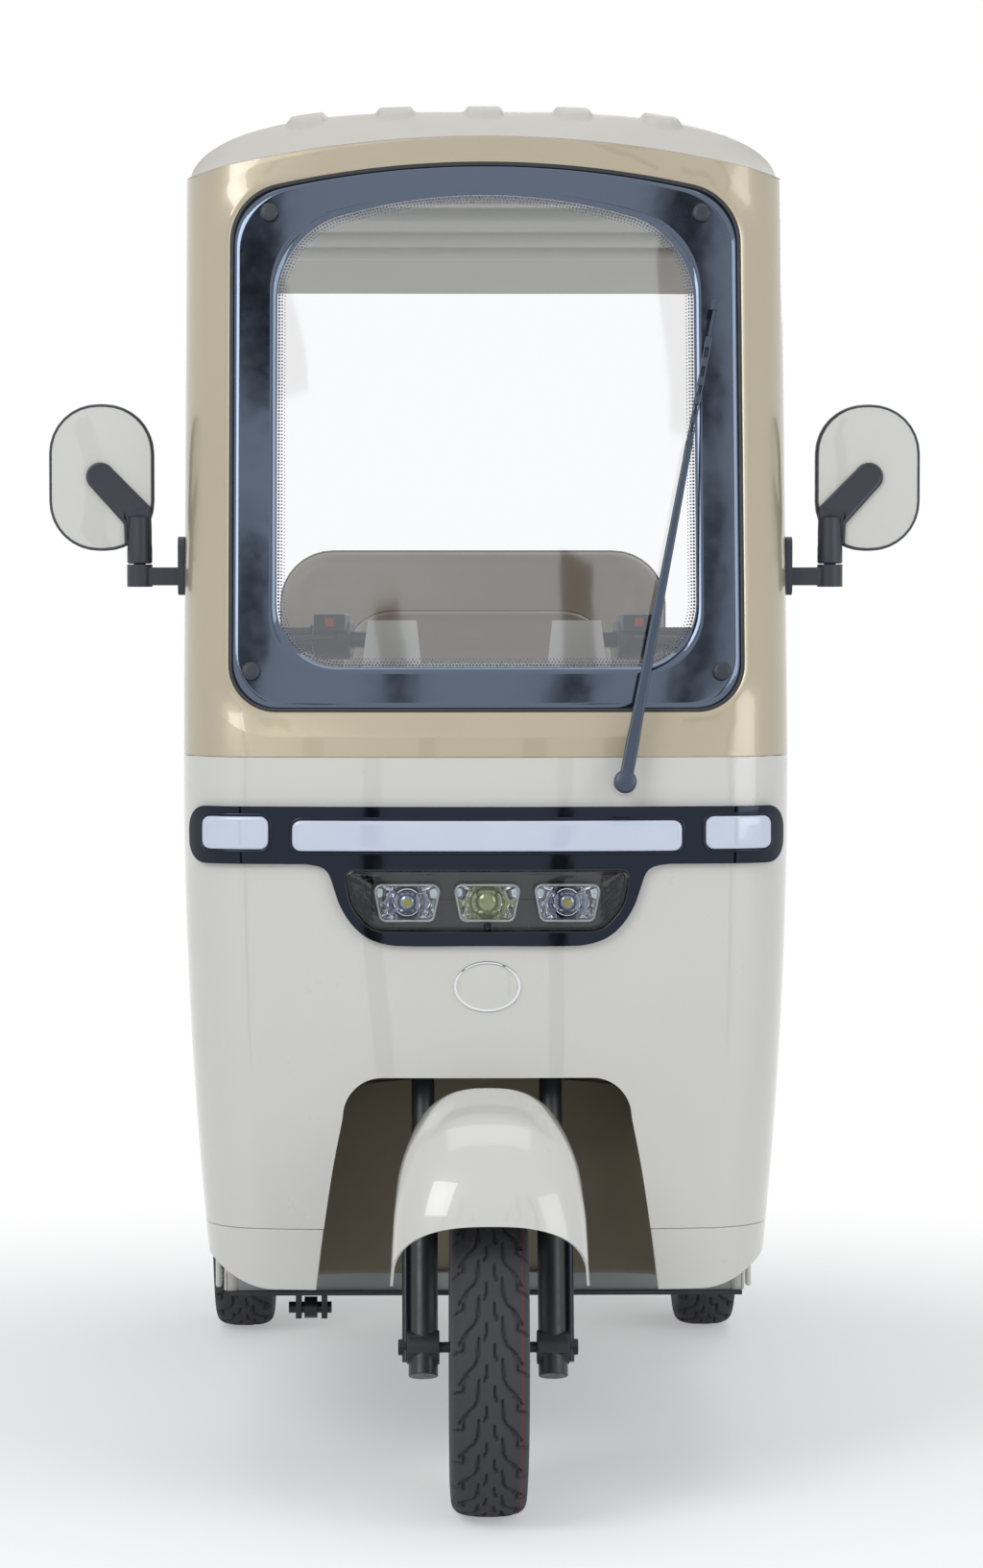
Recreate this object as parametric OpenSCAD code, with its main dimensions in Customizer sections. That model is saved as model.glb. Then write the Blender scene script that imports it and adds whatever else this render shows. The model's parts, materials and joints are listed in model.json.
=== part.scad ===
// Enclosed-front electric tricycle: one steered front wheel, two driven rear wheels,
// a full-height front fairing with windscreen, a ribbed roof, a driver's seat and a rear bench.
// X is across (the vehicle faces -Y), Z is up, the origin is on the ground under the middle.

/* [Overall] */
// Distance from the rear axle back to the rear bumper
rear_overhang = 333; // [310:1:360]
// Distance between front and rear axles
wheelbase = 1490; // [1450:5:1530]
// Width of the cab at the belt line
body_w = 802; // [780:2:820]
// Height of the seam between the lower fairing and the windscreen surround
seam_z = 977; // [970:1:985]

/* [Wheels] */
// Outer radius of every tyre
tyre_r = 217; // [212:1:220]
// Width of the front tyre
front_tyre_w = 100; // [92:1:104]
// Width of a rear tyre
rear_tyre_w = 94; // [88:1:98]
// Radius of the rim seat
rim_r = 130; // [126:1:136]
// Distance between the rear wheel centres
rear_track = 736; // [728:2:744]
// Radius of the wheel spindles
spindle_r = 7; // [6:0.5:8]

/* [Front fairing] */
// Radius of the front face seen from above
front_radius = 2600; // [2300:50:3200]
// Radius of the vertical corners seen from above
corner_radius = 95; // [85:1:105]
// Thickness of the moulded body panels
panel_t = 5; // [4:0.5:6]
// Distance from the front face back to the door opening
side_depth = 320; // [310:2:340]
// How much each side draws in from the belt line to the bottom
bottom_taper = 37; // [30:1:42]
// How far the lower face stands ahead of the belt line
nose_out = 18; // [10:1:24]
// Height of the fairing's lower edge
skirt_z = 280; // [275:1:290]
// Height of the seam above the corner skirts
skirt_seam_z = 360; // [350:1:370]
// Height of the wheel arch
arch_top_z = 559; // [550:1:568]
// Half width of the flat top of the wheel arch
arch_top_w = 137; // [130:1:142]
// Gap between neighbouring body panels
panel_gap = 0.4; // [0.3:0.05:0.45]

/* [Windscreen] */
// Lean of the windscreen from vertical, in degrees
screen_lean = 10; // [9:0.5:11]
// Half width of the glass
glass_w = 336; // [330:1:338]
// Lower edge of the glass
glass_bottom = 1038; // [1034:1:1044]
// Upper edge of the glass at its middle
glass_top = 1759; // [1752:1:1760]
// Thickness of the glass
glass_t = 5; // [4:0.5:6]
// Radius of the glass seen from above
glass_radius = 5000; // [4000:100:8000]
// Depth of the glass behind the front face
glass_recess = 14; // [12:0.5:18]
// Width of the band between the glass and the crease of the surround
band_w = 34; // [28:1:34]

/* [Roof] */
// Height of the roof's side edge
roof_edge_z = 1745; // [1740:1:1750]
// Height of the roof's rear lip
roof_lip_z = 1673; // [1660:1:1690]
// Distance of the roof's rear edge behind the rear axle
roof_overhang = 235; // [200:5:260]
// Rise of the crown above the side edge
roof_rise = 102; // [96:1:112]
// Spacing of the roof ribs
rib_pitch = 120; // [112:1:124]
// Half width of a roof rib
rib_half_w = 29; // [24:1:32]
// Height of a roof rib
rib_h = 8; // [6:0.5:10]

/* [Steering] */
// Rake of the steering axis, in degrees
rake = 22; // [21:0.5:23]
// Distance of the fork legs ahead of the steering axis
fork_offset = 32; // [28:1:36]
// Half the distance between the fork legs
fork_half = 84; // [82:1:88]
// Radius of the lower fork legs
leg_r = 19; // [17:0.5:20]
// Radius of the upper fork tubes
fork_tube_r = 15; // [14:0.5:16]
// Height of the grips
grip_z = 1125; // [1110:1:1140]
// Half width of the handlebar
bar_half = 312; // [300:1:314]
// Radius of the handlebar tube
bar_r = 11; // [10:0.5:12]

/* [Seats] */
// Width of the driver's seat
driver_w = 415; // [380:5:430]
// Height of the top of the driver's backrest
driver_back_z = 1160; // [1120:5:1180]
// Width of the rear bench cushion
bench_w = 660; // [620:5:680]
// Width of the bench backrest
bench_back_w = 634; // [600:2:660]
// Height of the top of the bench backrest
bench_back_z = 1250; // [1220:5:1270]

/* [Rear fittings] */
// Width of the number plate holder
plate_w = 230; // [220:5:260]
// Distance between the two number plate holes
plate_hole_pitch = 190; // [180:5:200]
// Radius of a number plate hole
plate_hole_r = 3.3; // [2.7:0.1:3.6]
// Distance across between the bumper's fitting holes
tow_hole_x = 120; // [100:5:140]
// Distance up between the bumper's fitting holes
tow_hole_z = 32; // [28:1:36]
// Radius of a fitting hole in the bumper
tow_hole_r = 5.3; // [4.3:0.5:5.8]

/* [Hidden] */
$fn = 64;

total_length = tyre_r + wheelbase + rear_overhang;
front_axle_y = -total_length / 2 + tyre_r;
rear_axle_y = front_axle_y + wheelbase;
rear_y = rear_axle_y + rear_overhang;
// Y of the front face at the belt line
face_y = front_axle_y + 82;
door_y = face_y + side_depth;
clear = 0.3;
deg = 180 / PI;

// Colours
cream = [0.83, 0.85, 0.84];
beige = [0.74, 0.70, 0.60];
white_roof = [0.86, 0.86, 0.84];
taupe = [0.45, 0.43, 0.37];
black = [0.05, 0.05, 0.06];
rubber = [0.08, 0.08, 0.09];
steel = [0.62, 0.64, 0.66];
leather = [0.48, 0.42, 0.34];
lens = [0.85, 0.88, 0.95];

// Body surface: a plan of front arc, corner arc and straight side, drawn in at the bottom
function half_w(z) = z >= seam_z ? body_w / 2
    : body_w / 2 - bottom_taper * pow((seam_z - z) / (seam_z - skirt_z), 2);
function lean_y(z) = z >= seam_z ? (z - seam_z) * tan(screen_lean)
    : -nose_out * sin(min(90, 90 * (seam_z - z) / (seam_z - skirt_seam_z)));
function corner_a(z) = asin((half_w(z) - corner_radius) / (front_radius - corner_radius));
function corner_y(z) = front_radius - (front_radius - corner_radius) * cos(corner_a(z));
function front_s(z) = front_radius * corner_a(z) / deg;
function corner_s(z) = front_s(z) + corner_radius * (90 - corner_a(z)) / deg;
function side_s(z) = corner_s(z) + side_depth - lean_y(z) - corner_y(z);

// Point on the body at arc length s from the middle and height z, off millimetres inwards
function body_half(a, z, off) = a <= front_s(z)
    ? [(front_radius - off) * sin(a / front_radius * deg),
       front_radius - (front_radius - off) * cos(a / front_radius * deg)]
    : a <= corner_s(z)
    ? [half_w(z) - corner_radius
           + (corner_radius - off) * sin(corner_a(z) + (a - front_s(z)) / corner_radius * deg),
       corner_y(z)
           - (corner_radius - off) * cos(corner_a(z) + (a - front_s(z)) / corner_radius * deg)]
    : [half_w(z) - off, corner_y(z) + a - corner_s(z)];
function body_pt(s, z, off = 0) = let (p = body_half(abs(s), z, off))
    [sign(s) * p[0], face_y + lean_y(z) + p[1], z];
// Arc length of the body point whose X is x
function s_of_x(x, z) = let (a = abs(x), w = half_w(z) - corner_radius)
    sign(x) * (a <= front_radius * sin(corner_a(z)) ? front_radius * asin(a / front_radius) / deg
    : front_s(z) + corner_radius
        * (asin(min(1, (a - w) / corner_radius)) - corner_a(z)) / deg);
function mix(a, b, t) = a + (b - a) * t;
function mirrored(half) = concat(half, [for (i = [len(half) - 2:-1:0]) [-half[i][0], half[i][1]]]);

// Closed shell between two grids of points; rows run outwards or up, columns to the right
module sheet(outer, inner, ring = false) {
    n = len(outer);
    m = len(outer[0]);
    cols = ring ? m : m - 1;
    points = concat([for (r = outer) each r], [for (r = inner) each r]);
    function at(o, i, j) = o * n * m + i * m + j % m;
    faces = concat(
        [for (i = [0:n - 2], j = [0:cols - 1]) each
            [[at(0, i, j), at(0, i + 1, j), at(0, i + 1, j + 1)],
             [at(0, i, j), at(0, i + 1, j + 1), at(0, i, j + 1)],
             [at(1, i, j), at(1, i + 1, j + 1), at(1, i + 1, j)],
             [at(1, i, j), at(1, i, j + 1), at(1, i + 1, j + 1)]]],
        [for (j = [0:cols - 1]) each
            [[at(0, 0, j), at(0, 0, j + 1), at(1, 0, j + 1)],
             [at(0, 0, j), at(1, 0, j + 1), at(1, 0, j)],
             [at(0, n - 1, j + 1), at(0, n - 1, j), at(1, n - 1, j)],
             [at(0, n - 1, j + 1), at(1, n - 1, j), at(1, n - 1, j + 1)]]],
        ring ? [] : [for (i = [0:n - 2]) each
            [[at(0, i + 1, 0), at(0, i, 0), at(1, i, 0)],
             [at(0, i + 1, 0), at(1, i, 0), at(1, i + 1, 0)],
             [at(0, i, m - 1), at(0, i + 1, m - 1), at(1, i + 1, m - 1)],
             [at(0, i, m - 1), at(1, i + 1, m - 1), at(1, i, m - 1)]]]);
    polyhedron(points, faces, convexity = 10);
}

// Panel that follows the body between two depths, from a grid of [arc length, height]
module body_panel(grid, out_off, in_off) {
    sheet([for (r = grid) [for (p = r) body_pt(p[0], p[1], out_off)]],
        [for (r = grid) [for (p = r) body_pt(p[0], p[1], in_off)]]);
}

module tube(p, q, r) {
    d = q - p;
    length = norm(d);
    translate(p) rotate([0, acos(d[2] / length), atan2(d[1], d[0])]) cylinder(h = length, r = r);
}

module box(lo, hi) {
    translate(lo) cube(hi - lo);
}

module both_sides() {
    children();
    mirror([1, 0, 0]) children();
}

// Rounded plate in the XY plane
module round_rect(w, h, r) {
    for (x = [-1, 1], y = [-1, 1]) translate([x * (w / 2 - r), y * (h / 2 - r)]) circle(r = r);
    square([w - 2 * r, h], center = true);
    square([w, h - 2 * r], center = true);
}

// Front fairing
// Outline of the wheel arch, left half, from its foot to the middle, as [arc length, height]
arch_corner_r = 52;
arch_knee_z = arch_top_z - arch_corner_r;
arch_foot_w = 214;
function arch_w(z) = lookup(z, [[skirt_z, arch_foot_w + 10], [skirt_seam_z, arch_foot_w],
    [440, arch_foot_w - 12], [arch_knee_z, arch_top_w + arch_corner_r]]);
function arch_half() = concat(
    [for (z = [skirt_seam_z + panel_gap, 400, 440, 475, arch_knee_z]) [-arch_w(z), z]],
    [for (a = [20:17.5:90]) [-arch_top_w - arch_corner_r * cos(a),
        arch_knee_z + arch_corner_r * sin(a)]],
    [[-90, arch_top_z], [-45, arch_top_z], [0, arch_top_z]]);
// Columns of a body panel: 0 to 1 is the front, 1 to 2 the corner and 2 to 3 the side
function s_of_u(u, z) = let (a = abs(u)) sign(u) * (a <= 1 ? a * front_s(z)
    : a <= 2 ? mix(front_s(z), corner_s(z), a - 1) : mix(corner_s(z), side_s(z), a - 2));
corner_cols = [1, 1.17, 1.33, 1.5, 1.67, 1.83, 2, 2.5, 3];
module front_fairing() {
    low = skirt_seam_z + panel_gap;
    high = seam_z - panel_gap;
    half = concat([0, 0.25, 0.5, 0.75], corner_cols);
    columns = concat([for (k = [len(half) - 1:-1:1]) -half[k]], half);
    arch = mirrored([for (p = arch_half()) [p[0], p[1] - (p[1] < low + 1 ? 20 : 0)]]);
    color(cream) difference() {
        body_panel([for (z = [low, 440, 520, 610, 700, 800, 890, high])
            [for (u = columns) [s_of_u(u, z), z]]], 0, panel_t);
        translate([0, face_y - 60, 0]) rotate([90, 0, 0]) mirror([0, 0, 1]) linear_extrude(150)
            polygon(arch);
        translate([0, face_y - 60, headlamp_z]) rotate([90, 0, 0]) mirror([0, 0, 1])
            linear_extrude(120) square([316, 62], center = true);
        wiper_hole();
    }
}

// Corner skirts below the fairing, left and right, with a rounded lower outer corner
module front_skirts() {
    top = skirt_seam_z - panel_gap;
    rise = 40;
    function skirt_bottom(u) = skirt_z + (u < 1 ? 0 : u >= 2 ? rise
        : rise * (1 - cos(180 * (u - 1))) / 2);
    columns = concat([0.75, 0.87], corner_cols);
    color(cream) both_sides() body_panel([for (v = [0, 0.5, 1])
        [for (k = [len(columns) - 1:-1:0]) let (u = columns[k], z = mix(skirt_bottom(u), top, v))
        [k == 0 ? -arch_w(z) : -s_of_u(u, z), z]]], 0, panel_t);
}

// Inner liner of the wheel arch: a U-shaped wall, open above for the fork
liner_depth = 262;
liner_top_z = 530;
module arch_liner() {
    // The lower edge slopes from the skirts down to the floor
    function edge(y, z) = z > skirt_z + 8 ? z
        : lookup(y, [[face_y + 60, skirt_z + 8], [face_y + 235, floor_top + clear]]);
    function wall(z, off) = let (w = arch_w(z) - off + 3, r = w * 0.82,
        y0 = body_pt(arch_w(z) + 3, z, panel_t)[1] + 2 * clear, y1 = face_y + liner_depth - off)
        concat([for (y = [y0, y0 + 60, y1 - r]) [-w, y, edge(y, z)]],
            [for (a = [11.25:11.25:168.75]) [-w * cos(a), y1 - r + r * sin(a),
                edge(y1 - r + r * sin(a), z)]],
            [for (y = [y1 - r, y0 + 60, y0]) [w, y, edge(y, z)]]);
    heights = [skirt_z + 8, skirt_seam_z, 440, arch_knee_z, liner_top_z];
    color(taupe) sheet([for (z = heights) wall(z, panel_t)], [for (z = heights) wall(z, 0)]);
}

// Windscreen
function glass_y(x, z) = face_y + glass_recess + lean_y(z)
    + (glass_radius - sqrt(glass_radius * glass_radius - x * x)) / cos(screen_lean);
// Outline of the glass, left half, from bottom middle to top middle, grown by e, as [x, height]
function glass_half(e) = let (w = glass_w + e, rb = 60 + e, rt = 76 + e, b = glass_bottom - e,
    t = glass_top + e, shoulder = t - 30) concat(
    [[0, b], [-100, b], [-190, b], [-w + rb, b]],
    [for (a = [22.5:22.5:90]) [-w + rb - rb * sin(a), b + rb - rb * cos(a)]],
    [[-w, 1250], [-w, 1400], [-w, 1550], [-w, shoulder - rt]],
    [for (a = [22.5:22.5:90]) [-w + rt - rt * cos(a), shoulder - rt + rt * sin(a)]],
    [[-180, t - 17], [-90, t - 5], [0, t]]);

module windscreen() {
    color([0.75, 0.8, 0.85, 0.35]) intersection() {
        translate([0, face_y + glass_recess, seam_z]) rotate([-screen_lean, 0, 0])
            difference() {
                translate([0, glass_radius, -200]) cylinder(h = 1200, r = glass_radius, $fn = 256);
                translate([0, glass_radius, -201])
                    cylinder(h = 1202, r = glass_radius - glass_t, $fn = 256);
            }
        translate([0, face_y - 100, 0]) rotate([90, 0, 0]) mirror([0, 0, 1])
            linear_extrude(500) polygon(mirrored(glass_half(0)));
    }
}
module screen_surround() {
    top = roof_edge_z - panel_gap;
    crown = 50;
    function roof_seam(s) = top + crown * max(0, 1 - pow(s / 400, 2));
    function outer_half() = let (b = seam_z + panel_gap, s2 = corner_s(seam_z)) concat(
        [[0, b], [-110, b], [-220, b], [-front_s(b), b], [-s2 + 75, b], [-s2, b],
            [-mix(s2, side_s(b), 0.5), b], [-side_s(b), b]],
        [for (z = [1180, 1380, 1580, top]) [-side_s(z), z]],
        [[-mix(s2, side_s(top), 0.5), top]],
        [for (s = [s2, s2 - 45, s2 - 90, 240, 120, 0]) [-s, roof_seam(s)]]);
    function on_glass(e, dy) = [for (p = mirrored(glass_half(e)))
        [p[0], glass_y(p[0], p[1]) + dy, p[1]]];
    crease = [for (p = mirrored(glass_half(band_w))) [s_of_x(p[0], p[1]), p[1]]];
    edge = mirrored(outer_half());
    function on_body(v, off) = [for (k = [0:len(edge) - 1]) let (p = mix(crease[k], edge[k], v))
        body_pt(p[0], p[1], off)];
    lip = glass_t + clear;
    // A loop closes on itself, so its last point, which repeats the first, is left out
    function open(loop) = [for (k = [0:len(loop) - 2]) loop[k]];
    color(beige) sheet(
        [for (r = [on_glass(-46, lip), on_glass(1.5, lip), on_glass(2.5, -2), on_glass(9, -4),
            on_body(0, 0), on_body(0.25, 0), on_body(0.5, 0), on_body(0.75, 0), on_body(1, 0)])
            open(r)],
        [for (r = [on_glass(-46, lip + panel_t), on_glass(-3.5, lip + panel_t),
            on_glass(5, lip + panel_t + 1), on_glass(14, lip + panel_t), on_body(0, panel_t),
            on_body(0.25, panel_t), on_body(0.5, panel_t), on_body(0.75, panel_t),
            on_body(1, panel_t)]) open(r)], ring = true);
}

// Round caps of the four bolts that hold the glass
cap_r = 12;
cap_top = [glass_w - 49, glass_top - 65];
cap_bottom = [glass_w - 27, glass_bottom + 50];
module screen_caps() {
    color(black) both_sides() for (p = [cap_top, cap_bottom])
        translate([p[0], glass_y(p[0], p[1]) - clear - 0.75, p[1]]) rotate([90 - screen_lean, 0, 0])
            intersection() {
                cylinder(h = 9, r = cap_r);
                translate([0, 0, -10]) sphere(r = 20);
            }
}

// Lamps
lamp_out = 9;
lamp_seat = 0.7;
lamp_bar_top = 913;
lamp_bar_bottom = 838;
lamp_end = 398;
lamp_end_r = 30;
function lamp_inset(a) = a <= lamp_end - lamp_end_r ? 0
    : lamp_end_r - sqrt(max(0, lamp_end_r * lamp_end_r - pow(a - lamp_end + lamp_end_r, 2)));
function lamp_low(a) = lookup(a, [[0, 732], [115, 732], [140, 736], [160, 745], [178, 762],
    [192, 785], [200, 808], [206, 825], [216, 834], [236, lamp_bar_bottom]]) + lamp_inset(a);
module lamp_panel() {
    half = [lamp_end, 394, 386, 374, 356, 338, 318, 290, 260, 236, 216, 206, 200, 192, 178, 160,
        140, 115, 60];
    columns = concat([for (s = half) -s], [0], [for (k = [len(half) - 1:-1:0]) half[k]]);
    color(black) body_panel([for (v = [0, 0.5, 1]) [for (s = columns)
        [s, mix(lamp_low(abs(s)), lamp_bar_top - lamp_inset(abs(s)), v)]]],
        -lamp_out, -lamp_seat);
}

// Light bar and the two corner lamps, as [start, end, low, high] along the body
lamp_lenses = [[-256, 256, 852, 895], [-380, -283, 852, 899], [283, 380, 852, 899]];
module position_lamps() {
    out = lamp_out + 5;
    seat = lamp_out + lamp_seat;
    color(lens) for (l = lamp_lenses) {
        r = 12;
        inset = [for (k = [0, 0.3, 1]) r * (1 - sqrt(1 - pow(1 - k, 2)))];
        ends = [l[0], l[0] + 0.3 * r, l[0] + r];
        n = l[0] < -300 || l[1] > 300 ? 6 : 12;
        body_panel([for (v = [0, 1]) concat(
            [for (k = [0:2]) [ends[k], mix(l[2] + inset[k], l[3] - inset[k], v)]],
            [for (k = [1:n - 1]) [mix(l[0] + r, l[1] - r, k / n), mix(l[2], l[3], v)]],
            [for (k = [2:-1:0]) [l[0] + l[1] - ends[k],
                mix(l[2] + inset[k], l[3] - inset[k], v)]])], -out, -seat);
    }
}

// Three lamp units in one housing set into the fairing
headlamp_z = 787;
headlamp_pitch = 106;
module headlamps() {
    front = face_y + lean_y(headlamp_z) - lamp_out - lamp_seat - 1;
    color(lens) {
        for (k = [-1, 0, 1]) translate([k * headlamp_pitch, front - 6, headlamp_z])
            rotate([-90, 0, 0]) linear_extrude(7 - 0.4 + (k == 0 ? 0 : 1)) round_rect(88, 50, 10);
        translate([0, face_y + lean_y(headlamp_z) + panel_t + 6.2, headlamp_z + 6])
            rotate([-90, 0, 0]) linear_extrude(45) round_rect(296, 54, 12);
    }
}

// Dash panel and shelf that close the fairing towards the driver
dash_y = face_y + 285;
shelf_z = 975;
module inner_dash() {
    function dash_w(z) = half_w(max(z, skirt_z)) - panel_t - 0.5;
    levels = [floor_top + 6, skirt_z, 400, 560, 720, 860, shelf_z];
    pocket_x = 258;
    color(beige) difference() {
        union() {
            translate([0, dash_y + panel_t, 0]) rotate([90, 0, 0]) linear_extrude(panel_t)
                polygon(concat([for (z = levels) [dash_w(z), z]],
                    [for (k = [len(levels) - 1:-1:0]) [-dash_w(levels[k]), levels[k]]]));
            box([-pillar_x - 20, face_y + 80, shelf_z - panel_t],
                [pillar_x + 20, dash_y + panel_t, shelf_z]);
            for (side = [-1, 1]) box([side * pocket_x - 82, dash_y + panel_t, 640],
                [side * pocket_x + 82, dash_y + 75, 860]);
        }
        for (side = [-1, 1]) {
            box([side * pocket_x - 77, dash_y + panel_t + 5, 645],
                [side * pocket_x + 77, dash_y + 70, 861]);
            translate([side * pillar_x, pillar_y, shelf_z - 20]) cylinder(h = 40, r = 12.5);
        }
        hull() for (y = [-1, 1]) translate([0, axis_y(shelf_z) + y * 22, shelf_z - 20])
            cylinder(h = 40, r = 62, $fn = 32);
        box([-27, dash_y - 1, 655], [27, dash_y + panel_t + 1, 742]);
    }
}

// Roof
roof_w = body_w / 2 - 1;
function edge_z(v) = lookup(v, [[0, roof_edge_z], [0.78, roof_edge_z], [0.88, roof_edge_z - 8],
    [0.95, mix(roof_lip_z, roof_edge_z, 0.55)], [1, roof_lip_z]]);
function rise(v) = lookup(v, [[0, 51], [0.03, 0.70 * roof_rise], [0.07, 0.88 * roof_rise],
    [0.12, 0.96 * roof_rise], [0.4, roof_rise + 2], [0.75, roof_rise], [0.88, 0.8 * roof_rise],
    [0.95, 0.42 * roof_rise], [1, 2]]);
roof_front_z = roof_edge_z + 50;
roof_fullness = 3.1;
// The front edge thins out where it lies on the screen surround
function wall(v) = v > 0 ? 1 : 0.12;
function roof_pt(x, v, off) = let (a = min(1, abs(x) / roof_w), blend = min(1, v / 0.06),
    n = mix(2, roof_fullness, blend), k = mix(1, 0.5, blend),
    zf = roof_edge_z + 50 * (1 - a * a), front = body_pt(s_of_x(x, zf), zf)[1] + off,
    back = rear_axle_y + roof_overhang - 25 * a * a - off)
    [sign(x) * min(abs(x), roof_w - off), mix(front, back, v),
     edge_z(v) + rise(v) * pow(1 - pow(a, n), k) - wall(v) * off * sqrt(1 - a * a)];
module roof() {
    stations = [0, 0.015, 0.03, 0.05, 0.08, 0.12, 0.2, 0.3, 0.4, 0.5, 0.6, 0.7, 0.78, 0.84, 0.88,
        0.92, 0.95, 0.98, 1];
    across = [for (a = [-90:9:90]) roof_w * sin(a)];
    color(white_roof) {
        sheet([for (v = stations) [for (x = across) roof_pt(x, v, 0)]],
            [for (v = stations) [for (x = across) roof_pt(x, v, panel_t)]]);
        for (k = [-2:2]) roof_rib(k * rib_pitch);
    }
}
module roof_rib(x) {
    ends = [0.045, 0.055, 0.075, 0.2, 0.35, 0.5, 0.65, 0.8, 0.83, 0.845];
    widths = [0.35, 0.75, 1, 1, 1, 1, 1, 1, 0.75, 0.35];
    profile = [[-1, -1.5], [-0.8, 1], [0.8, 1], [1, -1.5]];
    function row(k, lift) = [for (p = profile) let (q = roof_pt(x + p[0] * widths[k] * rib_half_w,
        ends[k], 0)) [q[0], q[1], q[2] + (lift > 0 ? (p[1] > 0 ? rib_h : p[1]) : -3)]];
    sheet([for (k = [0:len(ends) - 1]) row(k, 1)], [for (k = [0:len(ends) - 1]) row(k, 0)]);
}

// Tubes that carry the roof: side rails, rear hoop and screen pillars
rail_x = body_w / 2 - 28;
pillar_x = body_w / 2 - bottom_taper - panel_t - 16;
pillar_y = face_y + 250;
rail_z = roof_edge_z - 22;
hoop_y = rear_axle_y + 40;
module roof_frame() {
    color(black) {
        both_sides() {
            tube([rail_x, pillar_y - 24, rail_z], [rail_x, hoop_y + 18, rail_z], 14);
            tube([rail_x, hoop_y, tub_top_z + clear], [rail_x, hoop_y, rail_z], 13);
            tube([pillar_x, pillar_y, floor_low], [pillar_x, pillar_y, rail_z], 12);
            translate([rail_x, hoop_y, tub_top_z + clear]) cylinder(h = 8, r = 26);
        }
        for (y = [pillar_y, mix(pillar_y, hoop_y, 0.27), tub_front_y - 45, hoop_y - 30]) tube([-rail_x, y, rail_z],
            [rail_x, y, rail_z], 10);
    }
}

// Rear body
tub_w = 424;
tub_front_y = rear_axle_y - 295;
upright_y = tub_front_y + 18;
tub_top_z = 1100;
tub_low_z = 330;
tub_wall = 74;
shelf_low = 440;
shelf_top = 480;
module rear_tub() {
    back_y = rear_y - 22;
    color(cream) difference() {
        intersection() {
            translate([0, (tub_front_y + back_y) / 2, 250]) linear_extrude(900)
                round_rect(2 * tub_w, back_y - tub_front_y, 60);
            translate([-500, 0, 0]) rotate([90, 0, 90]) linear_extrude(1000)
                polygon([[tub_front_y, tub_low_z], [tub_front_y, 560], [tub_front_y + 60, 700],
                    [tub_front_y + 175, 960], [tub_front_y + 225, 1050],
                    [tub_front_y + 255, tub_top_z - 12], [tub_front_y + 290, tub_top_z],
                    [back_y, tub_top_z], [back_y, tub_low_z]]);
        }
        box([-tub_w + tub_wall, tub_front_y - 10, shelf_top],
            [tub_w - tub_wall, bench_back_y + 10 + clear, 1200]);
        box([-300, tub_front_y + 14, 200], [300, back_y - 14, shelf_low]);
        both_sides() {
            intersection() {
                box([290, tub_front_y + 14, 200], [tub_w - 8, back_y - 14, 462]);
                translate([280, rear_axle_y, tyre_r]) rotate([0, 90, 0]) cylinder(h = 200, r = 262);
            }
            translate([tub_w - 30, rear_axle_y, tyre_r]) rotate([0, 90, 0])
                cylinder(h = 60, r = 246);
        }
    }
}

// Cushion lying in its own frame: w across, d deep, t thick, with corners of radius r
module cushion(w, d, t, r) {
    linear_extrude(t) round_rect(w, d, r);
}
bench_back_y = rear_axle_y + 170;
bench_seat_z = 650;
module bench_cushion() {
    color(leather) translate([0, bench_back_y - 60 - clear - 190, bench_seat_z - 110])
        cushion(bench_w, 380, 110, 60);
    color(leather) box([-bench_w / 2 + 20, bench_back_y - 420, shelf_top + clear],
        [bench_w / 2 - 20, bench_back_y - 80, bench_seat_z - 100]);
}
module bench_backrest() {
    h = bench_back_z - bench_seat_z - 6;
    color(leather) translate([0, bench_back_y + 10, bench_back_z - h / 2]) rotate([90, 0, 0])
        cushion(bench_back_w, h, 70, 88);
}

// Driver's seat on its box
seat_y = mix(front_axle_y, rear_axle_y, 0.75) - 267.5;
seat_z = 690;
box_top = 592;
box_w = 210;
box_d = 170;
module seat_box() {
    color(cream) difference() {
        box([-box_w, seat_y - box_d, floor_top + clear], [box_w, seat_y + box_d, box_top]);
        box([-box_w + 8, seat_y - box_d + 8, floor_top + 8],
            [box_w - 8, seat_y + box_d - 8, box_top + 1]);
    }
}
module battery() {
    color(black) box([-box_w + 12, seat_y - box_d + 14, floor_top + 8 + clear],
        [box_w - 12, seat_y + box_d - 14, floor_top + 250]);
}
module driver_cushion() {
    color(leather) translate([0, seat_y - 25, seat_z - 72]) cushion(driver_w, 380, 72, 70);
    color(black) {
        box([-box_w + 4, seat_y - box_d + 4, box_top + clear], [box_w - 4, seat_y + box_d - 4,
            seat_z - 66]);
    }
}
module driver_backrest() {
    h = driver_back_z - seat_z - 40;
    tilt = 8;
    color(leather) translate([0, seat_y + 205, driver_back_z - h / 2]) rotate([90 - tilt, 0, 0])
        translate([0, 0, -20]) cushion(driver_w, h, 62, 80);
    color(black) both_sides() tube([112, seat_y + box_d + 9 + clear, box_top - 60],
        [112, seat_y + 212, seat_z + 180], 9);
}

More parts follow.
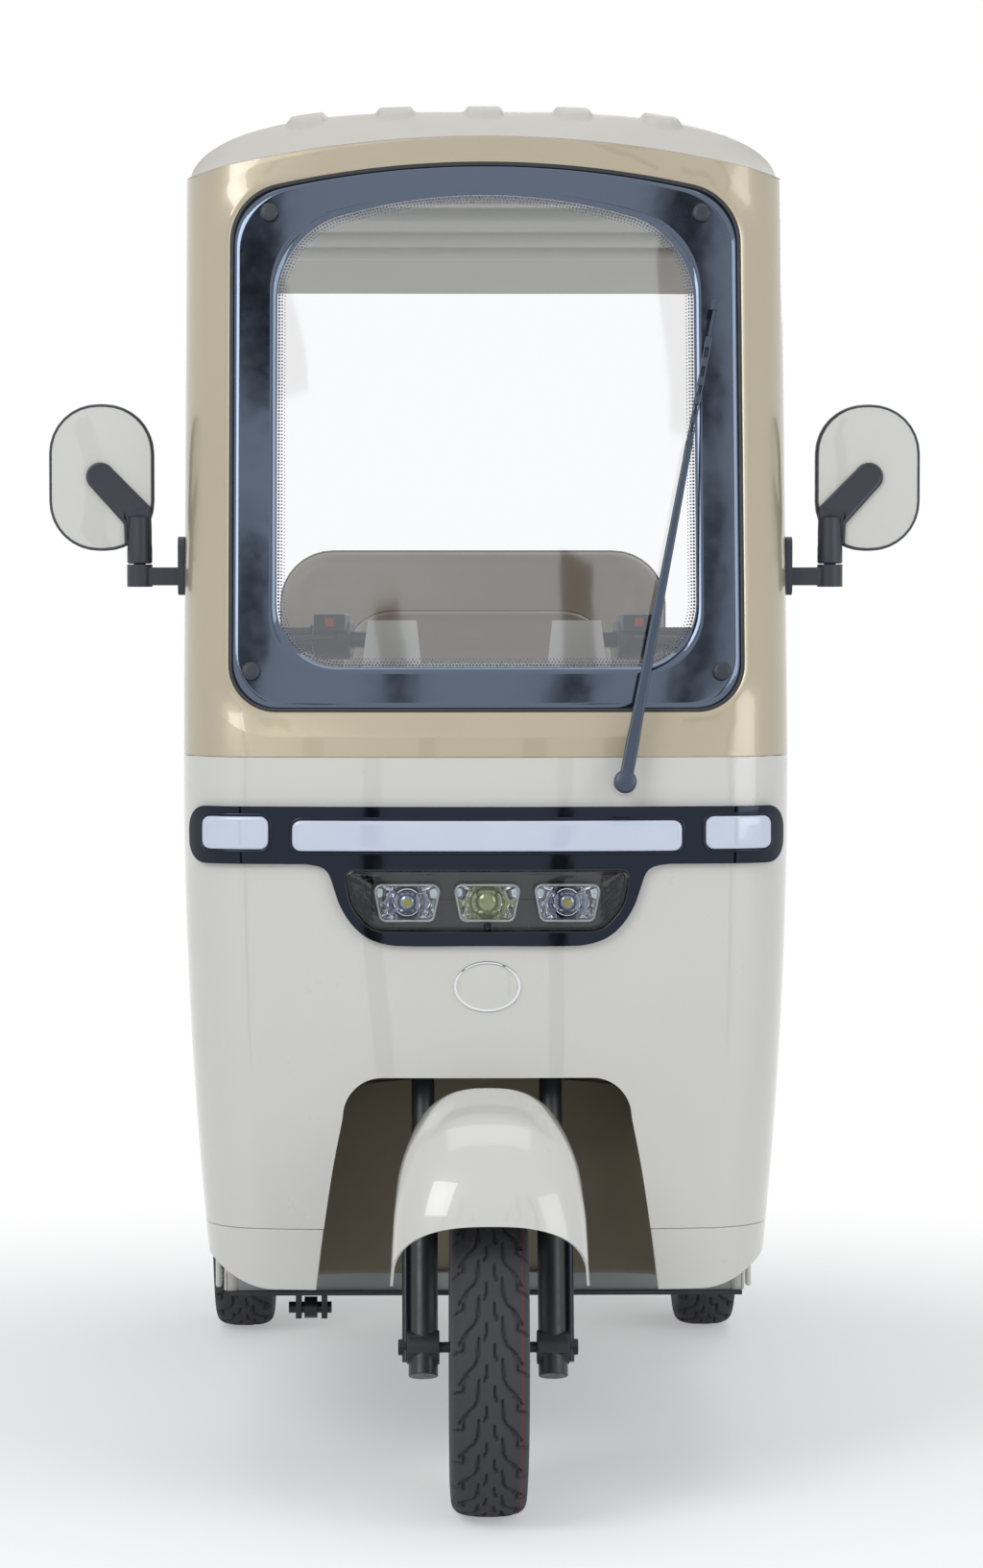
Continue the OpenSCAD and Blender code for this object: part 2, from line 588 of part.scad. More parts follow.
// Frame, floor and running gear
floor_low = 240;
floor_top = 264;
rails_front_y = face_y + 470;
carrier_t = 6;
rail_half = body_w / 2 - 211;
rail_size = 40;
floor_half = body_w / 2 - 49;
function axis_y(z) = front_axle_y + fork_offset * cos(rake)
    + (z - tyre_r + fork_offset * sin(rake)) * tan(rake);
up = [0, sin(rake), cos(rake)];
back = [0, cos(rake), -sin(rake)];
axle_pt = [0, front_axle_y, tyre_r];
function leg_pt(l, x = 0) = axle_pt + l * up + [x, 0, 0];
function axis_pt(l) = axle_pt + l * up + fork_offset * back;
neck_y = face_y + 312;
head_low = 492;
head_high = 618;
module along(l, behind = 0) {
    translate(leg_pt(l) + behind * back) rotate([-rake, 0, 0]) children();
}
module frame() {
    low = floor_low - rail_size;
    color(black) {
        difference() {
            union() {
                along(head_low, fork_offset) cylinder(h = head_high - head_low, r = 30);
                hull() {
                    along(head_low + 20, fork_offset + 22) cylinder(h = 80, r = 16, $fn = 24);
                    translate([0, neck_y, 700]) sphere(r = 19, $fn = 24);
                }
                tube([0, neck_y, 700], [0, neck_y, floor_low - carrier_t + 2], 18);
            }
            along(head_low - 5, fork_offset) cylinder(h = head_high - head_low + 10, r = 22);
        }
        both_sides() {
            box([rail_half - 20, rails_front_y, low], [rail_half + 20, upright_y + 40,
                floor_low - clear]);
            box([rail_half - 20, upright_y, low], [rail_half + 20, upright_y + 40, shelf_low - 1]);
            box([rail_half - 20, upright_y, shelf_low - 40 - clear],
                [rail_half + 20, rear_y - 40, shelf_low - clear]);
        }
        box([-pillar_x - 8, pillar_y - 17, floor_low - carrier_t],
            [pillar_x + 8, rails_front_y + 20, floor_low - clear]);
        for (y = [seat_y - 110, tub_front_y - 55])
            box([-pillar_x - 8, y, low + 6], [pillar_x + 8, y + 34, floor_low - clear]);
        for (y = [upright_y + 2, rear_y - 80]) box([-rail_half, y, shelf_low - 36],
            [rail_half, y + 30, shelf_low - 4]);
    }
}
module floor_pan() {
    color([0.6, 0.62, 0.63]) difference() {
        box([-floor_half, face_y + 240, floor_low], [floor_half, tub_front_y - 5, floor_top]);
        translate([0, neck_y, 100]) cylinder(h = 200, r = 18.5);
        both_sides() translate([pillar_x, pillar_y, 100]) cylinder(h = 300, r = 12.5);
    }
}
module side_sills() {
    color(cream) both_sides() difference() {
        box([floor_half - 24, door_y + 6, floor_low - 9],
            [floor_half + 18, tub_front_y - 4, floor_top + 8]);
        box([floor_half - 32, door_y, floor_low - 15],
            [floor_half + 10, tub_front_y, floor_top + clear]);
    }
}
module rear_axle() {
    color(black) {
        difference() {
            union() {
                tube([-rear_track / 2 + 64, rear_axle_y, tyre_r],
                    [rear_track / 2 - 64, rear_axle_y, tyre_r], 24);
                tube([-70, rear_axle_y, tyre_r], [90, rear_axle_y, tyre_r], 78);
                tube([-150, rear_axle_y + 20, tyre_r + 6], [-70, rear_axle_y + 20, tyre_r + 6], 62);
            }
        }
        tube([-rear_track / 2 - 30, rear_axle_y, tyre_r], [rear_track / 2 + 30, rear_axle_y,
            tyre_r], spindle_r);
    }
}
module rear_springs() {
    color(steel) both_sides() {
        for (k = [0:3]) box([214, rear_axle_y - 250 + 52 * k, tyre_r + 24.4 + 7 * k],
            [256, rear_axle_y + 250 - 52 * k, tyre_r + 31.2 + 7 * k]);
        tube([235, rear_axle_y - 244, tyre_r + 30], [235, rear_axle_y - 244, shelf_low - clear], 9);
        tube([235, rear_axle_y + 244, tyre_r + 30], [235, rear_axle_y + 244, shelf_low - clear], 9);
    }
}
module tail_lamps() {
    color([0.6, 0.05, 0.05]) both_sides() box([300, rear_y - 22 + clear, 700],
        [352, rear_y - 8, 900]);
}
module rear_bumper() {
    y = rear_y - 22 + clear;
    color(black) {
        difference() {
            box([-300, y, 340], [300, rear_y, 400]);
            for (x = [-1, 1], z = [-1, 1])
                translate([x * tow_hole_x / 2, y - 1, 370 + z * tow_hole_z / 2])
                    rotate([-90, 0, 0]) cylinder(h = 40, r = tow_hole_r);
        }
        difference() {
            box([-plate_w / 2, y, 470], [plate_w / 2, y + 8, 610]);
            for (x = [-1, 1]) translate([x * plate_hole_pitch / 2, y - 1, 590])
                rotate([-90, 0, 0]) cylinder(h = 20, r = plate_hole_r);
        }
    }
}
module brake_pedal() {
    y = face_y + 430;
    color(black) {
        for (x = [72, 36]) box([-rail_half - x, y - 13, 172],
            [-rail_half - x + 8, y + 13, floor_low - carrier_t - clear]);
        tube([-rail_half - 82, y, 186], [-rail_half - 22, y, 186], 8);
        translate([-rail_half - 60, y, 186]) rotate([0, 90, 0]) cylinder(h = 18, r = 15);
    }
}

// Mirrors: a base on the screen pillar, an arm, and a head on a vertical pivot
mirror_y = face_y + 176;
pivot_x = body_w / 2 + 61;
mirror_base_z = 1216;
module mirror_mounts() {
    color(black) both_sides() {
        translate([body_w / 2 + clear, mirror_y, mirror_base_z + 10]) rotate([0, 90, 0])
            linear_extrude(9) round_rect(78, 40, 12);
        box([body_w / 2 + 8, mirror_y - 11, mirror_base_z - 16], [pivot_x - 4, mirror_y + 11,
            mirror_base_z + 8]);
        translate([pivot_x, mirror_y, mirror_base_z - 18]) cylinder(h = 30, r = 17);
        translate([pivot_x, mirror_y, mirror_base_z]) cylinder(h = 34, r = 8);
    }
}
module mirror_head(side) {
    color(black) difference() {
        translate([side * pivot_x, mirror_y, mirror_base_z + 12.4]) cylinder(h = 62, r = 17);
        translate([side * pivot_x, mirror_y, mirror_base_z]) cylinder(h = 34.5, r = 8.4);
    }
    color(black) hull() {
        translate([side * pivot_x, mirror_y, mirror_base_z + 60]) cylinder(h = 20, r = 13, $fn = 24);
        translate([side * (pivot_x + 60), mirror_y + 4, 1345]) rotate([90, 0, 0])
            cylinder(h = 12, r = 18, $fn = 24);
    }
    color(cream) translate([side * (pivot_x + 51), mirror_y + 26, 1344]) rotate([90, 0, 0])
        difference() {
            linear_extrude(26) round_rect(140, 196, 66);
            translate([0, 0, -1]) linear_extrude(4) round_rect(130, 186, 61);
        }
    color(steel) translate([side * (pivot_x + 51), mirror_y + 26.2, 1344]) rotate([90, 0, 0])
        linear_extrude(3.4) round_rect(128, 184, 60);
}
module mirror_left() { mirror_head(1); }
module mirror_right() { mirror_head(-1); }

// Wiper: a spindle on the fairing, an arm and a blade parallel to the glass
wiper_x = 179;
wiper_z = 941;
wiper_tilt = -11;
blade_low = 240;
blade_high = 655;
module on_wiper() {
    translate([wiper_x, face_y + glass_recess + lean_y(wiper_z) + (wiper_z - seam_z) * 0.17,
        wiper_z]) rotate([90 - screen_lean, 0, 0]) children();
}
module wiper_hole() {
    on_wiper() translate([0, 0, -40]) cylinder(h = 80, r = 11);
}
module wiper_spindle() {
    color(steel) on_wiper() {
        translate([0, 0, -20]) cylinder(h = 48, r = 7);
        translate([0, 0, -16]) cylinder(h = 38, r = 10.6);
    }
}
module wiper_arm() {
    color(black) on_wiper() {
        difference() {
            translate([0, 0, 23]) cylinder(h = 18, r = 15);
            translate([0, 0, 22]) cylinder(h = 6.5, r = 7.4);
        }
        rotate([0, 0, wiper_tilt]) {
            translate([-9, 8, 27]) cube([18, 70, 12]);
            translate([-7, 74, 26]) cube([14, 380, 8]);
        }
    }
}
module wiper_blade() {
    color(black) on_wiper() rotate([0, 0, wiper_tilt]) {
        translate([-5, blade_low, 17]) cube([10, blade_high - blade_low, 8.7]);
        translate([-2, blade_low, 11]) cube([4, blade_high - blade_low, 6]);
    }
}

// Fork, handlebar and mudguard
yoke_low = 466;
yoke_high = 624;
stem_top = 895;
module fork_yokes() {
    color(black) {
        for (l = [yoke_low, yoke_high]) difference() {
            hull() {
                for (x = [-fork_half, fork_half]) along(l) translate([x, 0, 0])
                    cylinder(h = 20, r = 25, $fn = 32);
                along(l, fork_offset) cylinder(h = 20, r = 30, $fn = 32);
            }
            for (x = [-fork_half, fork_half]) along(l - 5) translate([x, 0, 0])
                cylinder(h = 30, r = fork_tube_r + clear);
        }
        along(yoke_low, fork_offset) cylinder(h = stem_top - yoke_low, r = 13);
        along(head_low + 2, fork_offset) cylinder(h = head_high - head_low - 4, r = 21.9);
    }
}
leg_top = 250;
leg_low = -38;
module fork_legs() {
    color(black) {
        for (x = [-fork_half, fork_half]) difference() {
            union() {
                along(leg_low) translate([x, 0, 0]) cylinder(h = leg_top - leg_low, r = leg_r);
                along(leg_top - 4) translate([x, 0, 0])
                    cylinder(h = yoke_high + 24 - leg_top, r = fork_tube_r);
                translate([x - 21, front_axle_y, tyre_r]) rotate([0, 90, 0])
                    cylinder(h = 42, r = 22);
            }
            translate([x - 30, front_axle_y, tyre_r]) rotate([0, 90, 0])
                cylinder(h = 60, r = spindle_r + 0.05);
        }
        tube([-fork_half - 32, front_axle_y, tyre_r], [fork_half + 32, front_axle_y, tyre_r],
            spindle_r);
    }
}
guard_r = 191;
guard_y = -20;
guard_z = 364;
guard_stations = [[14, 126, 86, 60], [24, 125, 96, 52], [36, 124, 108, 42], [50, 122, 126, 26],
    [66, 120, 142, 10], [82, 114, 150, 0], [92, 106, 128, 0], [102, 90, 92, 0], [112, 70, 60, 0],
    [124, 57, 44, 0], [150, 55, 40, 0], [172, 53, 36, 0]];
function guard_pt(g, q, off) = let (d = 1 - pow(1 - pow(abs(q), 2.6), 1 / 2.6),
    r = guard_r - off * (1 - pow(abs(q), 6)))
    [(g[1] - off) * q, front_axle_y + guard_y - r * cos(g[0]) + d * g[3] + off * abs(q) * 0.2,
     guard_z + r * sin(g[0]) - d * g[2]];
module mudguard() {
    across = [-1, -0.985, -0.94, -0.86, -0.74, -0.56, -0.34, 0, 0.34, 0.56, 0.74, 0.86, 0.94,
        0.985, 1];
    color(cream) sheet([for (g = guard_stations) [for (q = across) guard_pt(g, q, 0)]],
        [for (g = guard_stations) [for (q = across) guard_pt(g, q, 4)]]);
    strap_z = guard_z + 76;
    color(black) both_sides() box([46, front_axle_y + 84, strap_z],
        [fork_half - leg_r - clear, front_axle_y + 154, strap_z + 12]);
}
bar_y = axis_y(1050) - 8;
clamp_z = 1052;
// Middle line of the left half of the handlebar tube, from the clamp outwards
bar_points = [[60, bar_y + 1, clamp_z], [92, bar_y + 3, clamp_z + 7], [112, bar_y + 6, clamp_z + 26],
    [126, bar_y + 9, grip_z - 24], [146, bar_y + 13, grip_z - 5], [170, bar_y + 18, grip_z],
    [bar_half, bar_y + 52, grip_z]];
bar_path = concat([for (k = [len(bar_points) - 1:-1:0]) [-bar_points[k][0], bar_points[k][1],
    bar_points[k][2]]], bar_points);
// Round bar along a path that runs mostly along X
module swept(path, r, sides = 16) {
    n = len(path);
    rings = [for (k = [0:n - 1]) let (t = path[min(n - 1, k + 1)] - path[max(0, k - 1)],
        side = cross(t, [0, 1, 0]) / norm(cross(t, [0, 1, 0])), other = cross(t, side) / norm(t))
        for (a = [0:sides - 1]) path[k] + r * (cos(360 * a / sides) * side
            + sin(360 * a / sides) * other)];
    polyhedron(rings, concat([[for (a = [0:sides - 1]) a]],
        [[for (a = [sides - 1:-1:0]) (n - 1) * sides + a]],
        [for (k = [0:n - 2], a = [0:sides - 1]) let (b = (a + 1) % sides)
            [k * sides + b, k * sides + a, (k + 1) * sides + a, (k + 1) * sides + b]]),
        convexity = 6);
}
module handlebar() {
    color(black) {
        swept(bar_path, bar_r);
        difference() {
            translate([-24, bar_y - 32, clamp_z - 56]) cube([48, 58, 76]);
            along(stem_top - 100, fork_offset) cylinder(h = 100 + clear, r = 13 + clear);
        }
    }
}
grip_dir = (bar_points[6] - bar_points[5]) / norm(bar_points[6] - bar_points[5]);
grip_root = bar_points[5] + 16 * grip_dir;
grip_tip = bar_points[6];
module hand_controls() {
    color(rubber) both_sides() {
        difference() {
            union() {
                tube(grip_root + 46 * grip_dir, grip_tip + 3 * grip_dir, 17);
                tube(grip_root - 6 * grip_dir, grip_root + 47 * grip_dir, 26);
                tube(grip_root + 20 * grip_dir + [0, -26, 4],
                    grip_tip - 10 * grip_dir + [0, -52, -4], 6);
                translate(grip_root + [22, -14, 22]) rotate([0, 0, 11])
                    cube([44, 34, 22], center = true);
            }
            tube(grip_root - 16 * grip_dir, grip_tip + 0.5 * grip_dir, bar_r + 0.05);
        }
    }
}
horn_low = 1072;
module handlebar_cowl() {
    color(cream) {
        both_sides() difference() {
            hull() {
                translate([84, bar_y - 36, horn_low]) cube([84, 56, 4]);
                translate([92, bar_y - 30, horn_low + 72]) cube([66, 40, 8]);
            }
            swept(bar_path, bar_r + clear);
            translate([90, bar_y - 28, horn_low - 1]) cube([68, 42, 60]);
        }
        difference() {
            box([-86, bar_y - 40, horn_low], [86, bar_y + 34, horn_low + 22]);
            box([-60, bar_y - 30, horn_low - 1], [60, bar_y + 24, horn_low + 14]);
        }
    }
}

// Wheels
hub_w = 92;
module tyre(w) {
    color(rubber) rotate([0, 90, 0]) rotate_extrude($fn = 96) tyre_profile(w);
}
// Half section of a tyre: rounded crown, bulging walls, beads on the rim
module tyre_profile(w) {
    h = tyre_r - rim_r;
    crown = w * 0.62;
    bulge = 0.62 * h;
    inside = 0.38 * h;
    difference() {
        intersection() {
            translate([tyre_r - crown, 0]) circle(r = crown);
            translate([rim_r + 0.45 * h, 0]) scale([1, w / 2 / bulge]) circle(r = bulge);
            translate([rim_r, -w / 2]) square([h, w]);
        }
        translate([rim_r + 0.44 * h, 0]) scale([1, (w / 2 - 11) / inside]) circle(r = inside);
        translate([rim_r - 1, -w * 0.2]) square([h * 0.3, w * 0.4]);
    }
}
module rim(w) {
    seat = rim_r - clear;
    half = [[seat - 10, 0.12 * w], [seat, 0.19 * w], [seat, 0.365 * w], [seat + 5, 0.395 * w],
        [seat + 5, 0.395 * w + 4], [seat - 5, 0.395 * w + 4], [seat - 7, 0.19 * w + 2],
        [seat - 17, 0.12 * w + 2]];
    color(steel) rotate([0, 90, 0]) difference() {
        union() {
            rotate_extrude($fn = 96) polygon(concat(half,
                [for (k = [len(half) - 1:-1:0]) [half[k][0], -half[k][1]]]));
            cylinder(h = hub_w, r = 24, center = true);
            for (k = [0:4]) rotate([0, 0, 72 * k]) translate([68, 0, 0])
                cube([104, 26, 16], center = true);
        }
        cylinder(h = 200, r = spindle_r + 0.05, center = true);
    }
}
module front_tyre() { translate(axle_pt) tyre(front_tyre_w); }
module front_rim() { translate(axle_pt) rim(front_tyre_w); }
module rear_at(side) { translate([side * rear_track / 2, rear_axle_y, tyre_r]) children(); }
module rear_tyre_left() { rear_at(1) tyre(rear_tyre_w); }
module rear_rim_left() { rear_at(1) rim(rear_tyre_w); }
module rear_tyre_right() { rear_at(-1) tyre(rear_tyre_w); }
module rear_rim_right() { rear_at(-1) rim(rear_tyre_w); }

frame();
floor_pan();
front_fairing();
front_skirts();
arch_liner();
screen_surround();
windscreen();
screen_caps();
lamp_panel();
position_lamps();
headlamps();
inner_dash();
roof();
roof_frame();
rear_tub();
bench_cushion();
bench_backrest();
seat_box();
battery();
driver_cushion();
driver_backrest();
rear_axle();
rear_springs();
tail_lamps();
rear_bumper();
side_sills();
brake_pedal();
mirror_mounts();
mirror_left();
mirror_right();
wiper_spindle();
wiper_arm();
wiper_blade();
fork_yokes();
fork_legs();
mudguard();
handlebar();
hand_controls();
handlebar_cowl();
front_tyre();
front_rim();
rear_tyre_left();
rear_rim_left();
rear_tyre_right();
rear_rim_right();
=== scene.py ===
"""Electric tricycle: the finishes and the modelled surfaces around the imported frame."""

import json
import logging
import math
from dataclasses import dataclass, field
from enum import Enum
from typing import Callable, Optional, Sequence

import bmesh
import bpy
from mathutils import Matrix, Vector

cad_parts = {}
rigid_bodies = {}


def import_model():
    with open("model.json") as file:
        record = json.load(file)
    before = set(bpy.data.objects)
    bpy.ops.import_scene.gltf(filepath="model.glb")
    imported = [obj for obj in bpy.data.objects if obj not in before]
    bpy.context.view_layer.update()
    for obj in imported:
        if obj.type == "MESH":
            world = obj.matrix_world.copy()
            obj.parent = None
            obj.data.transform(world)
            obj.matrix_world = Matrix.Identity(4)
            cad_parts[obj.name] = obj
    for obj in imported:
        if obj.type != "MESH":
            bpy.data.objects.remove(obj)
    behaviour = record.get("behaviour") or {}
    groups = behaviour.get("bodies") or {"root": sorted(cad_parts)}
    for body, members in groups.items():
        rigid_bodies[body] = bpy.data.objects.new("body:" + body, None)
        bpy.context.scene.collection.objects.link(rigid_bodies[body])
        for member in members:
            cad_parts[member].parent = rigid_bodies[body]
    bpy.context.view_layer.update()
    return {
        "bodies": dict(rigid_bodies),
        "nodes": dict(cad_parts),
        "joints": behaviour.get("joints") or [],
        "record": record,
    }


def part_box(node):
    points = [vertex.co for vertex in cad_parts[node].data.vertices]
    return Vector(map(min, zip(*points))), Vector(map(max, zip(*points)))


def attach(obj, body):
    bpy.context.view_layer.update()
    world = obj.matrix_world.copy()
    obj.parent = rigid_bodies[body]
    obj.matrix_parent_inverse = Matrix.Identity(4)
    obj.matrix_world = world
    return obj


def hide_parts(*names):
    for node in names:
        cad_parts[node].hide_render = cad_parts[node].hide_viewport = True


LOG = logging.getLogger("tricycle")
MM = 0.001
Place = Callable[[float, float], Vector]
Point2 = tuple[float, float]


# Small mathematics


def mix(a: float, b: float, t: float) -> float:
    """Value that lies the share t of the way from a to b."""
    return a + (b - a) * t


def smooth(t: float) -> float:
    """Share t, from 0 to 1, eased at both ends."""
    t = min(1.0, max(0.0, t))
    return t * t * (3 - 2 * t)


def interpolated(table: Sequence[Sequence[float]], x: float) -> list[float]:
    """Row of a table at x, on a smooth curve through its rows.

    Args:
        table: Rows whose first entry grows.
        x: Value of the first entry that is looked for.

    Returns:
        The other entries of the row at x.
    """
    keys = [row[0] for row in table]
    x = min(max(x, keys[0]), keys[-1])
    k = max(i for i in range(len(keys) - 1) if keys[i] <= x)
    t = (x - keys[k]) / (keys[k + 1] - keys[k])

    def slope(i: int, c: int) -> float:
        """Slope of column c at row i."""
        lo, hi = max(0, i - 1), min(len(keys) - 1, i + 1)
        return (table[hi][c] - table[lo][c]) / (keys[hi] - keys[lo])

    span = keys[k + 1] - keys[k]
    values = []
    for c in range(1, len(table[0])):
        a, b = table[k][c], table[k + 1][c]
        ma, mb = slope(k, c) * span, slope(k + 1, c) * span
        values.append((2 * t**3 - 3 * t**2 + 1) * a + (t**3 - 2 * t**2 + t) * ma
                      + (3 * t**2 - 2 * t**3) * b + (t**3 - t**2) * mb)
    return values


def spaced(points: Sequence[Point2], count: int) -> list[Point2]:
    """Points at even steps along a polyline.

    Args:
        points: Corners of the polyline.
        count: Number of steps.

    Returns:
        The count + 1 points from its start to its end.
    """
    lengths = [0.0]
    for a, b in zip(points, points[1:]):
        lengths.append(lengths[-1] + math.dist(a, b))
    result = []
    k = 0
    for i in range(count + 1):
        target = lengths[-1] * i / count
        while k < len(points) - 2 and lengths[k + 1] < target:
            k += 1
        span = lengths[k + 1] - lengths[k]
        t = (target - lengths[k]) / span if span else 0.0
        result.append((mix(points[k][0], points[k + 1][0], t), mix(points[k][1], points[k + 1][1], t)))
    return result


# Finishes


def linear(hex_colour: str) -> tuple[float, float, float, float]:
    """Linear colour of an sRGB hex value such as "#c8c4bb"."""
    values = [int(hex_colour[i:i + 2], 16) / 255 for i in (1, 3, 5)]
    return tuple(v / 12.92 if v <= 0.04045 else ((v + 0.055) / 1.055) ** 2.4 for v in values) + (1.0,)


def per_metre(size_mm: float) -> float:
    """Scale of a pattern on Object coordinates whose features are size_mm apart."""
    return 1000.0 / size_mm


def add_node(tree: bpy.types.NodeTree, kind: str, inputs: Optional[dict] = None,
             **settings) -> bpy.types.Node:
    """Adds a node with its settings, values and links.

    Args:
        tree: Node tree that gets the node.
        kind: The node's type.
        inputs: Socket names or numbers, each with a value or with the socket that feeds it.
        **settings: The node's own properties.

    Returns:
        The new node.
    """
    node = tree.nodes.new(kind)
    for key, value in settings.items():
        setattr(node, key, value)
    for key, value in (inputs or {}).items():
        if isinstance(value, bpy.types.NodeSocket):
            tree.links.new(value, node.inputs[key])
        else:
            node.inputs[key].default_value = value
    return node


class Grain(Enum):
    """Kind of fine relief on a surface."""

    FLECKS = "soft flecks"
    CELLS = "pebble cells, as in leather"


def empty_tree(owner: bpy.types.Material | bpy.types.World) -> bpy.types.NodeTree:
    """Node tree of a material or a world, with nothing in it."""
    owner.use_nodes = True
    owner.node_tree.nodes.clear()
    return owner.node_tree


@dataclass(frozen=True)
class Finish:
    """A finish: a shader whose colour, gloss and relief come from patterns of real size.

    Args:
        name: The material's name.
        colour: Main colour, sRGB hex.
        second: Colour that drifts into the main one.
        drift_mm: Size of that drift.
        roughness: Middle of the roughness.
        uneven: How far dust and handling move the roughness each way.
        metallic: 1 for a metal.
        coat: Weight of a clear coat.
        coat_roughness: Roughness of that coat.
        ior: Index of refraction of what isn't metal.
        relief_mm: Spacing of the fine relief.
        relief: Strength of the fine relief.
        grain: Kind of the fine relief.
        sheen: Weight of a soft sheen.
        mirror: Tint of the reflections of what isn't metal, sRGB hex.
    """

    name: str
    colour: str
    second: str
    drift_mm: float = 300.0
    roughness: float = 0.4
    uneven: float = 0.05
    metallic: float = 0.0
    coat: float = 0.0
    coat_roughness: float = 0.05
    ior: float = 1.5
    relief_mm: float = 3.0
    relief: float = 0.05
    grain: Grain = Grain.FLECKS
    sheen: float = 0.0
    mirror: str = "#ffffff"

    def build(self) -> bpy.types.Material:
        """Makes the material.

        Returns:
            The material, made once for each name.
        """
        if self.name in bpy.data.materials:
            return bpy.data.materials[self.name]
        material = bpy.data.materials.new(self.name)
        tree = empty_tree(material)
        where = add_node(tree, "ShaderNodeTexCoord").outputs["Object"]
        drift = add_node(tree, "ShaderNodeTexNoise", {"Vector": where, "Scale": per_metre(self.drift_mm),
                                                     "Detail": 4.0, "Roughness": 0.6})
        tint = add_node(tree, "ShaderNodeMix", {0: drift.outputs["Fac"], 6: linear(self.colour),
                                                7: linear(self.second)}, data_type="RGBA")
        smears = add_node(tree, "ShaderNodeTexNoise", {"Vector": where, "Scale": per_metre(self.drift_mm / 6),
                                                      "Detail": 5.0, "Roughness": 0.7})
        gloss = add_node(tree, "ShaderNodeMapRange", {"Value": smears.outputs["Fac"], "From Min": 0.3,
                                                     "From Max": 0.7,
                                                     "To Min": max(0.0, self.roughness - self.uneven),
                                                     "To Max": self.roughness + self.uneven})
        if self.grain is Grain.CELLS:
            fine = add_node(tree, "ShaderNodeTexVoronoi",
                            {"Vector": where, "Scale": per_metre(self.relief_mm)},
                            feature="SMOOTH_F1").outputs["Distance"]
        else:
            fine = add_node(tree, "ShaderNodeTexNoise", {"Vector": where, "Scale": per_metre(self.relief_mm),
                                                         "Detail": 2.0}).outputs["Fac"]
        relief = add_node(tree, "ShaderNodeBump", {"Height": fine, "Strength": self.relief,
                                                   "Distance": self.relief_mm * MM * 0.3})
        shader = add_node(tree, "ShaderNodeBsdfPrincipled", {
            "Base Color": tint.outputs[2], "Roughness": gloss.outputs["Result"],
            "Normal": relief.outputs["Normal"], "Metallic": self.metallic, "IOR": self.ior,
            "Coat Weight": self.coat, "Coat Roughness": self.coat_roughness, "Sheen Weight": self.sheen,
            "Specular Tint": linear(self.mirror)})
        add_node(tree, "ShaderNodeOutputMaterial", {"Surface": shader.outputs["BSDF"]})
        return material


@dataclass(frozen=True)
class ClearFinish:
    """Glass or clear plastic that light passes through.

    Args:
        name: The material's name.
        colour: Tint, sRGB hex.
        roughness: Roughness of its surface.
        opacity: Share of the light that both of its faces mirror when seen straight on.
    """

    name: str
    colour: str
    roughness: float = 0.02
    opacity: float = 0.1

    def build(self) -> bpy.types.Material:
        """Makes the material: a thin glossy pane that is mostly see-through."""
        if self.name in bpy.data.materials:
            return bpy.data.materials[self.name]
        material = bpy.data.materials.new(self.name)
        tree = empty_tree(material)
        where = add_node(tree, "ShaderNodeTexCoord").outputs["Object"]
        wipes = add_node(tree, "ShaderNodeTexNoise", {"Vector": where, "Scale": per_metre(120.0),
                                                     "Detail": 5.0, "Roughness": 0.65})
        gloss = add_node(tree, "ShaderNodeMapRange", {"Value": wipes.outputs["Fac"], "From Min": 0.35,
                                                     "From Max": 0.75, "To Min": self.roughness,
                                                     "To Max": self.roughness + 0.03})
        bend = add_node(tree, "ShaderNodeLayerWeight", {"Blend": 0.28})
        facing = add_node(tree, "ShaderNodeMapRange", {"Value": bend.outputs["Fresnel"],
                                                      "To Min": self.opacity, "To Max": 1.0})
        shader = add_node(tree, "ShaderNodeBsdfPrincipled", {
            "Base Color": linear(self.colour), "Roughness": gloss.outputs["Result"], "Metallic": 1.0,
            "Alpha": facing.outputs["Result"]})
        add_node(tree, "ShaderNodeOutputMaterial", {"Surface": shader.outputs["BSDF"]})
        return material


# Gel-coated glass fibre: deep wet gloss with faint orange peel
FAIRING = Finish("fairing_gelcoat", "#d5d4ce", "#d0cfc9", roughness=0.3, uneven=0.03, coat=1.0,
                 coat_roughness=0.02, relief_mm=80.0, relief=0.01)
# Metallic champagne lacquer: warm sheen that turns along the curves
SURROUND = Finish("surround_champagne", "#bab098", "#b2a78e", drift_mm=260.0, roughness=0.35, uneven=0.03,
                  metallic=0.3, coat=1.0, coat_roughness=0.03, relief_mm=60.0, relief=0.01)
# Weathered gel coat: chalky off-white that mirrors nothing
ROOF = Finish("roof_gelcoat", "#cbc8c0", "#c2bfb7", roughness=0.6, uneven=0.08, ior=1.3,
              relief_mm=8.0, relief=0.02)
# Vacuum-formed liner: dull taupe with a fine grain that takes no highlight
LINER = Finish("liner_grained", "#918874", "#857c69", roughness=0.62, relief_mm=1.6, relief=0.25)
# Dyed-through acrylic: mirror gloss on near black, cool where it mirrors the sky
BLACK_GLOSS = Finish("acrylic_black", "#0b0c0f", "#101216", roughness=0.05, uneven=0.02, ior=1.6,
                     mirror="#a8bbdc", relief_mm=60.0, relief=0.01)
# Stoved satin paint on steel tube: soft long highlights
BLACK_PAINT = Finish("frame_paint", "#1c1f23", "#272a2e", drift_mm=90.0, roughness=0.38, uneven=0.1,
                     relief_mm=2.5, relief=0.08)
# Injection-moulded black: spark-eroded grain that breaks the highlight up
BLACK_PLASTIC = Finish("moulded_black", "#24282e", "#2d3239", drift_mm=80.0, roughness=0.5, uneven=0.08,
                       relief_mm=1.2, relief=0.2)
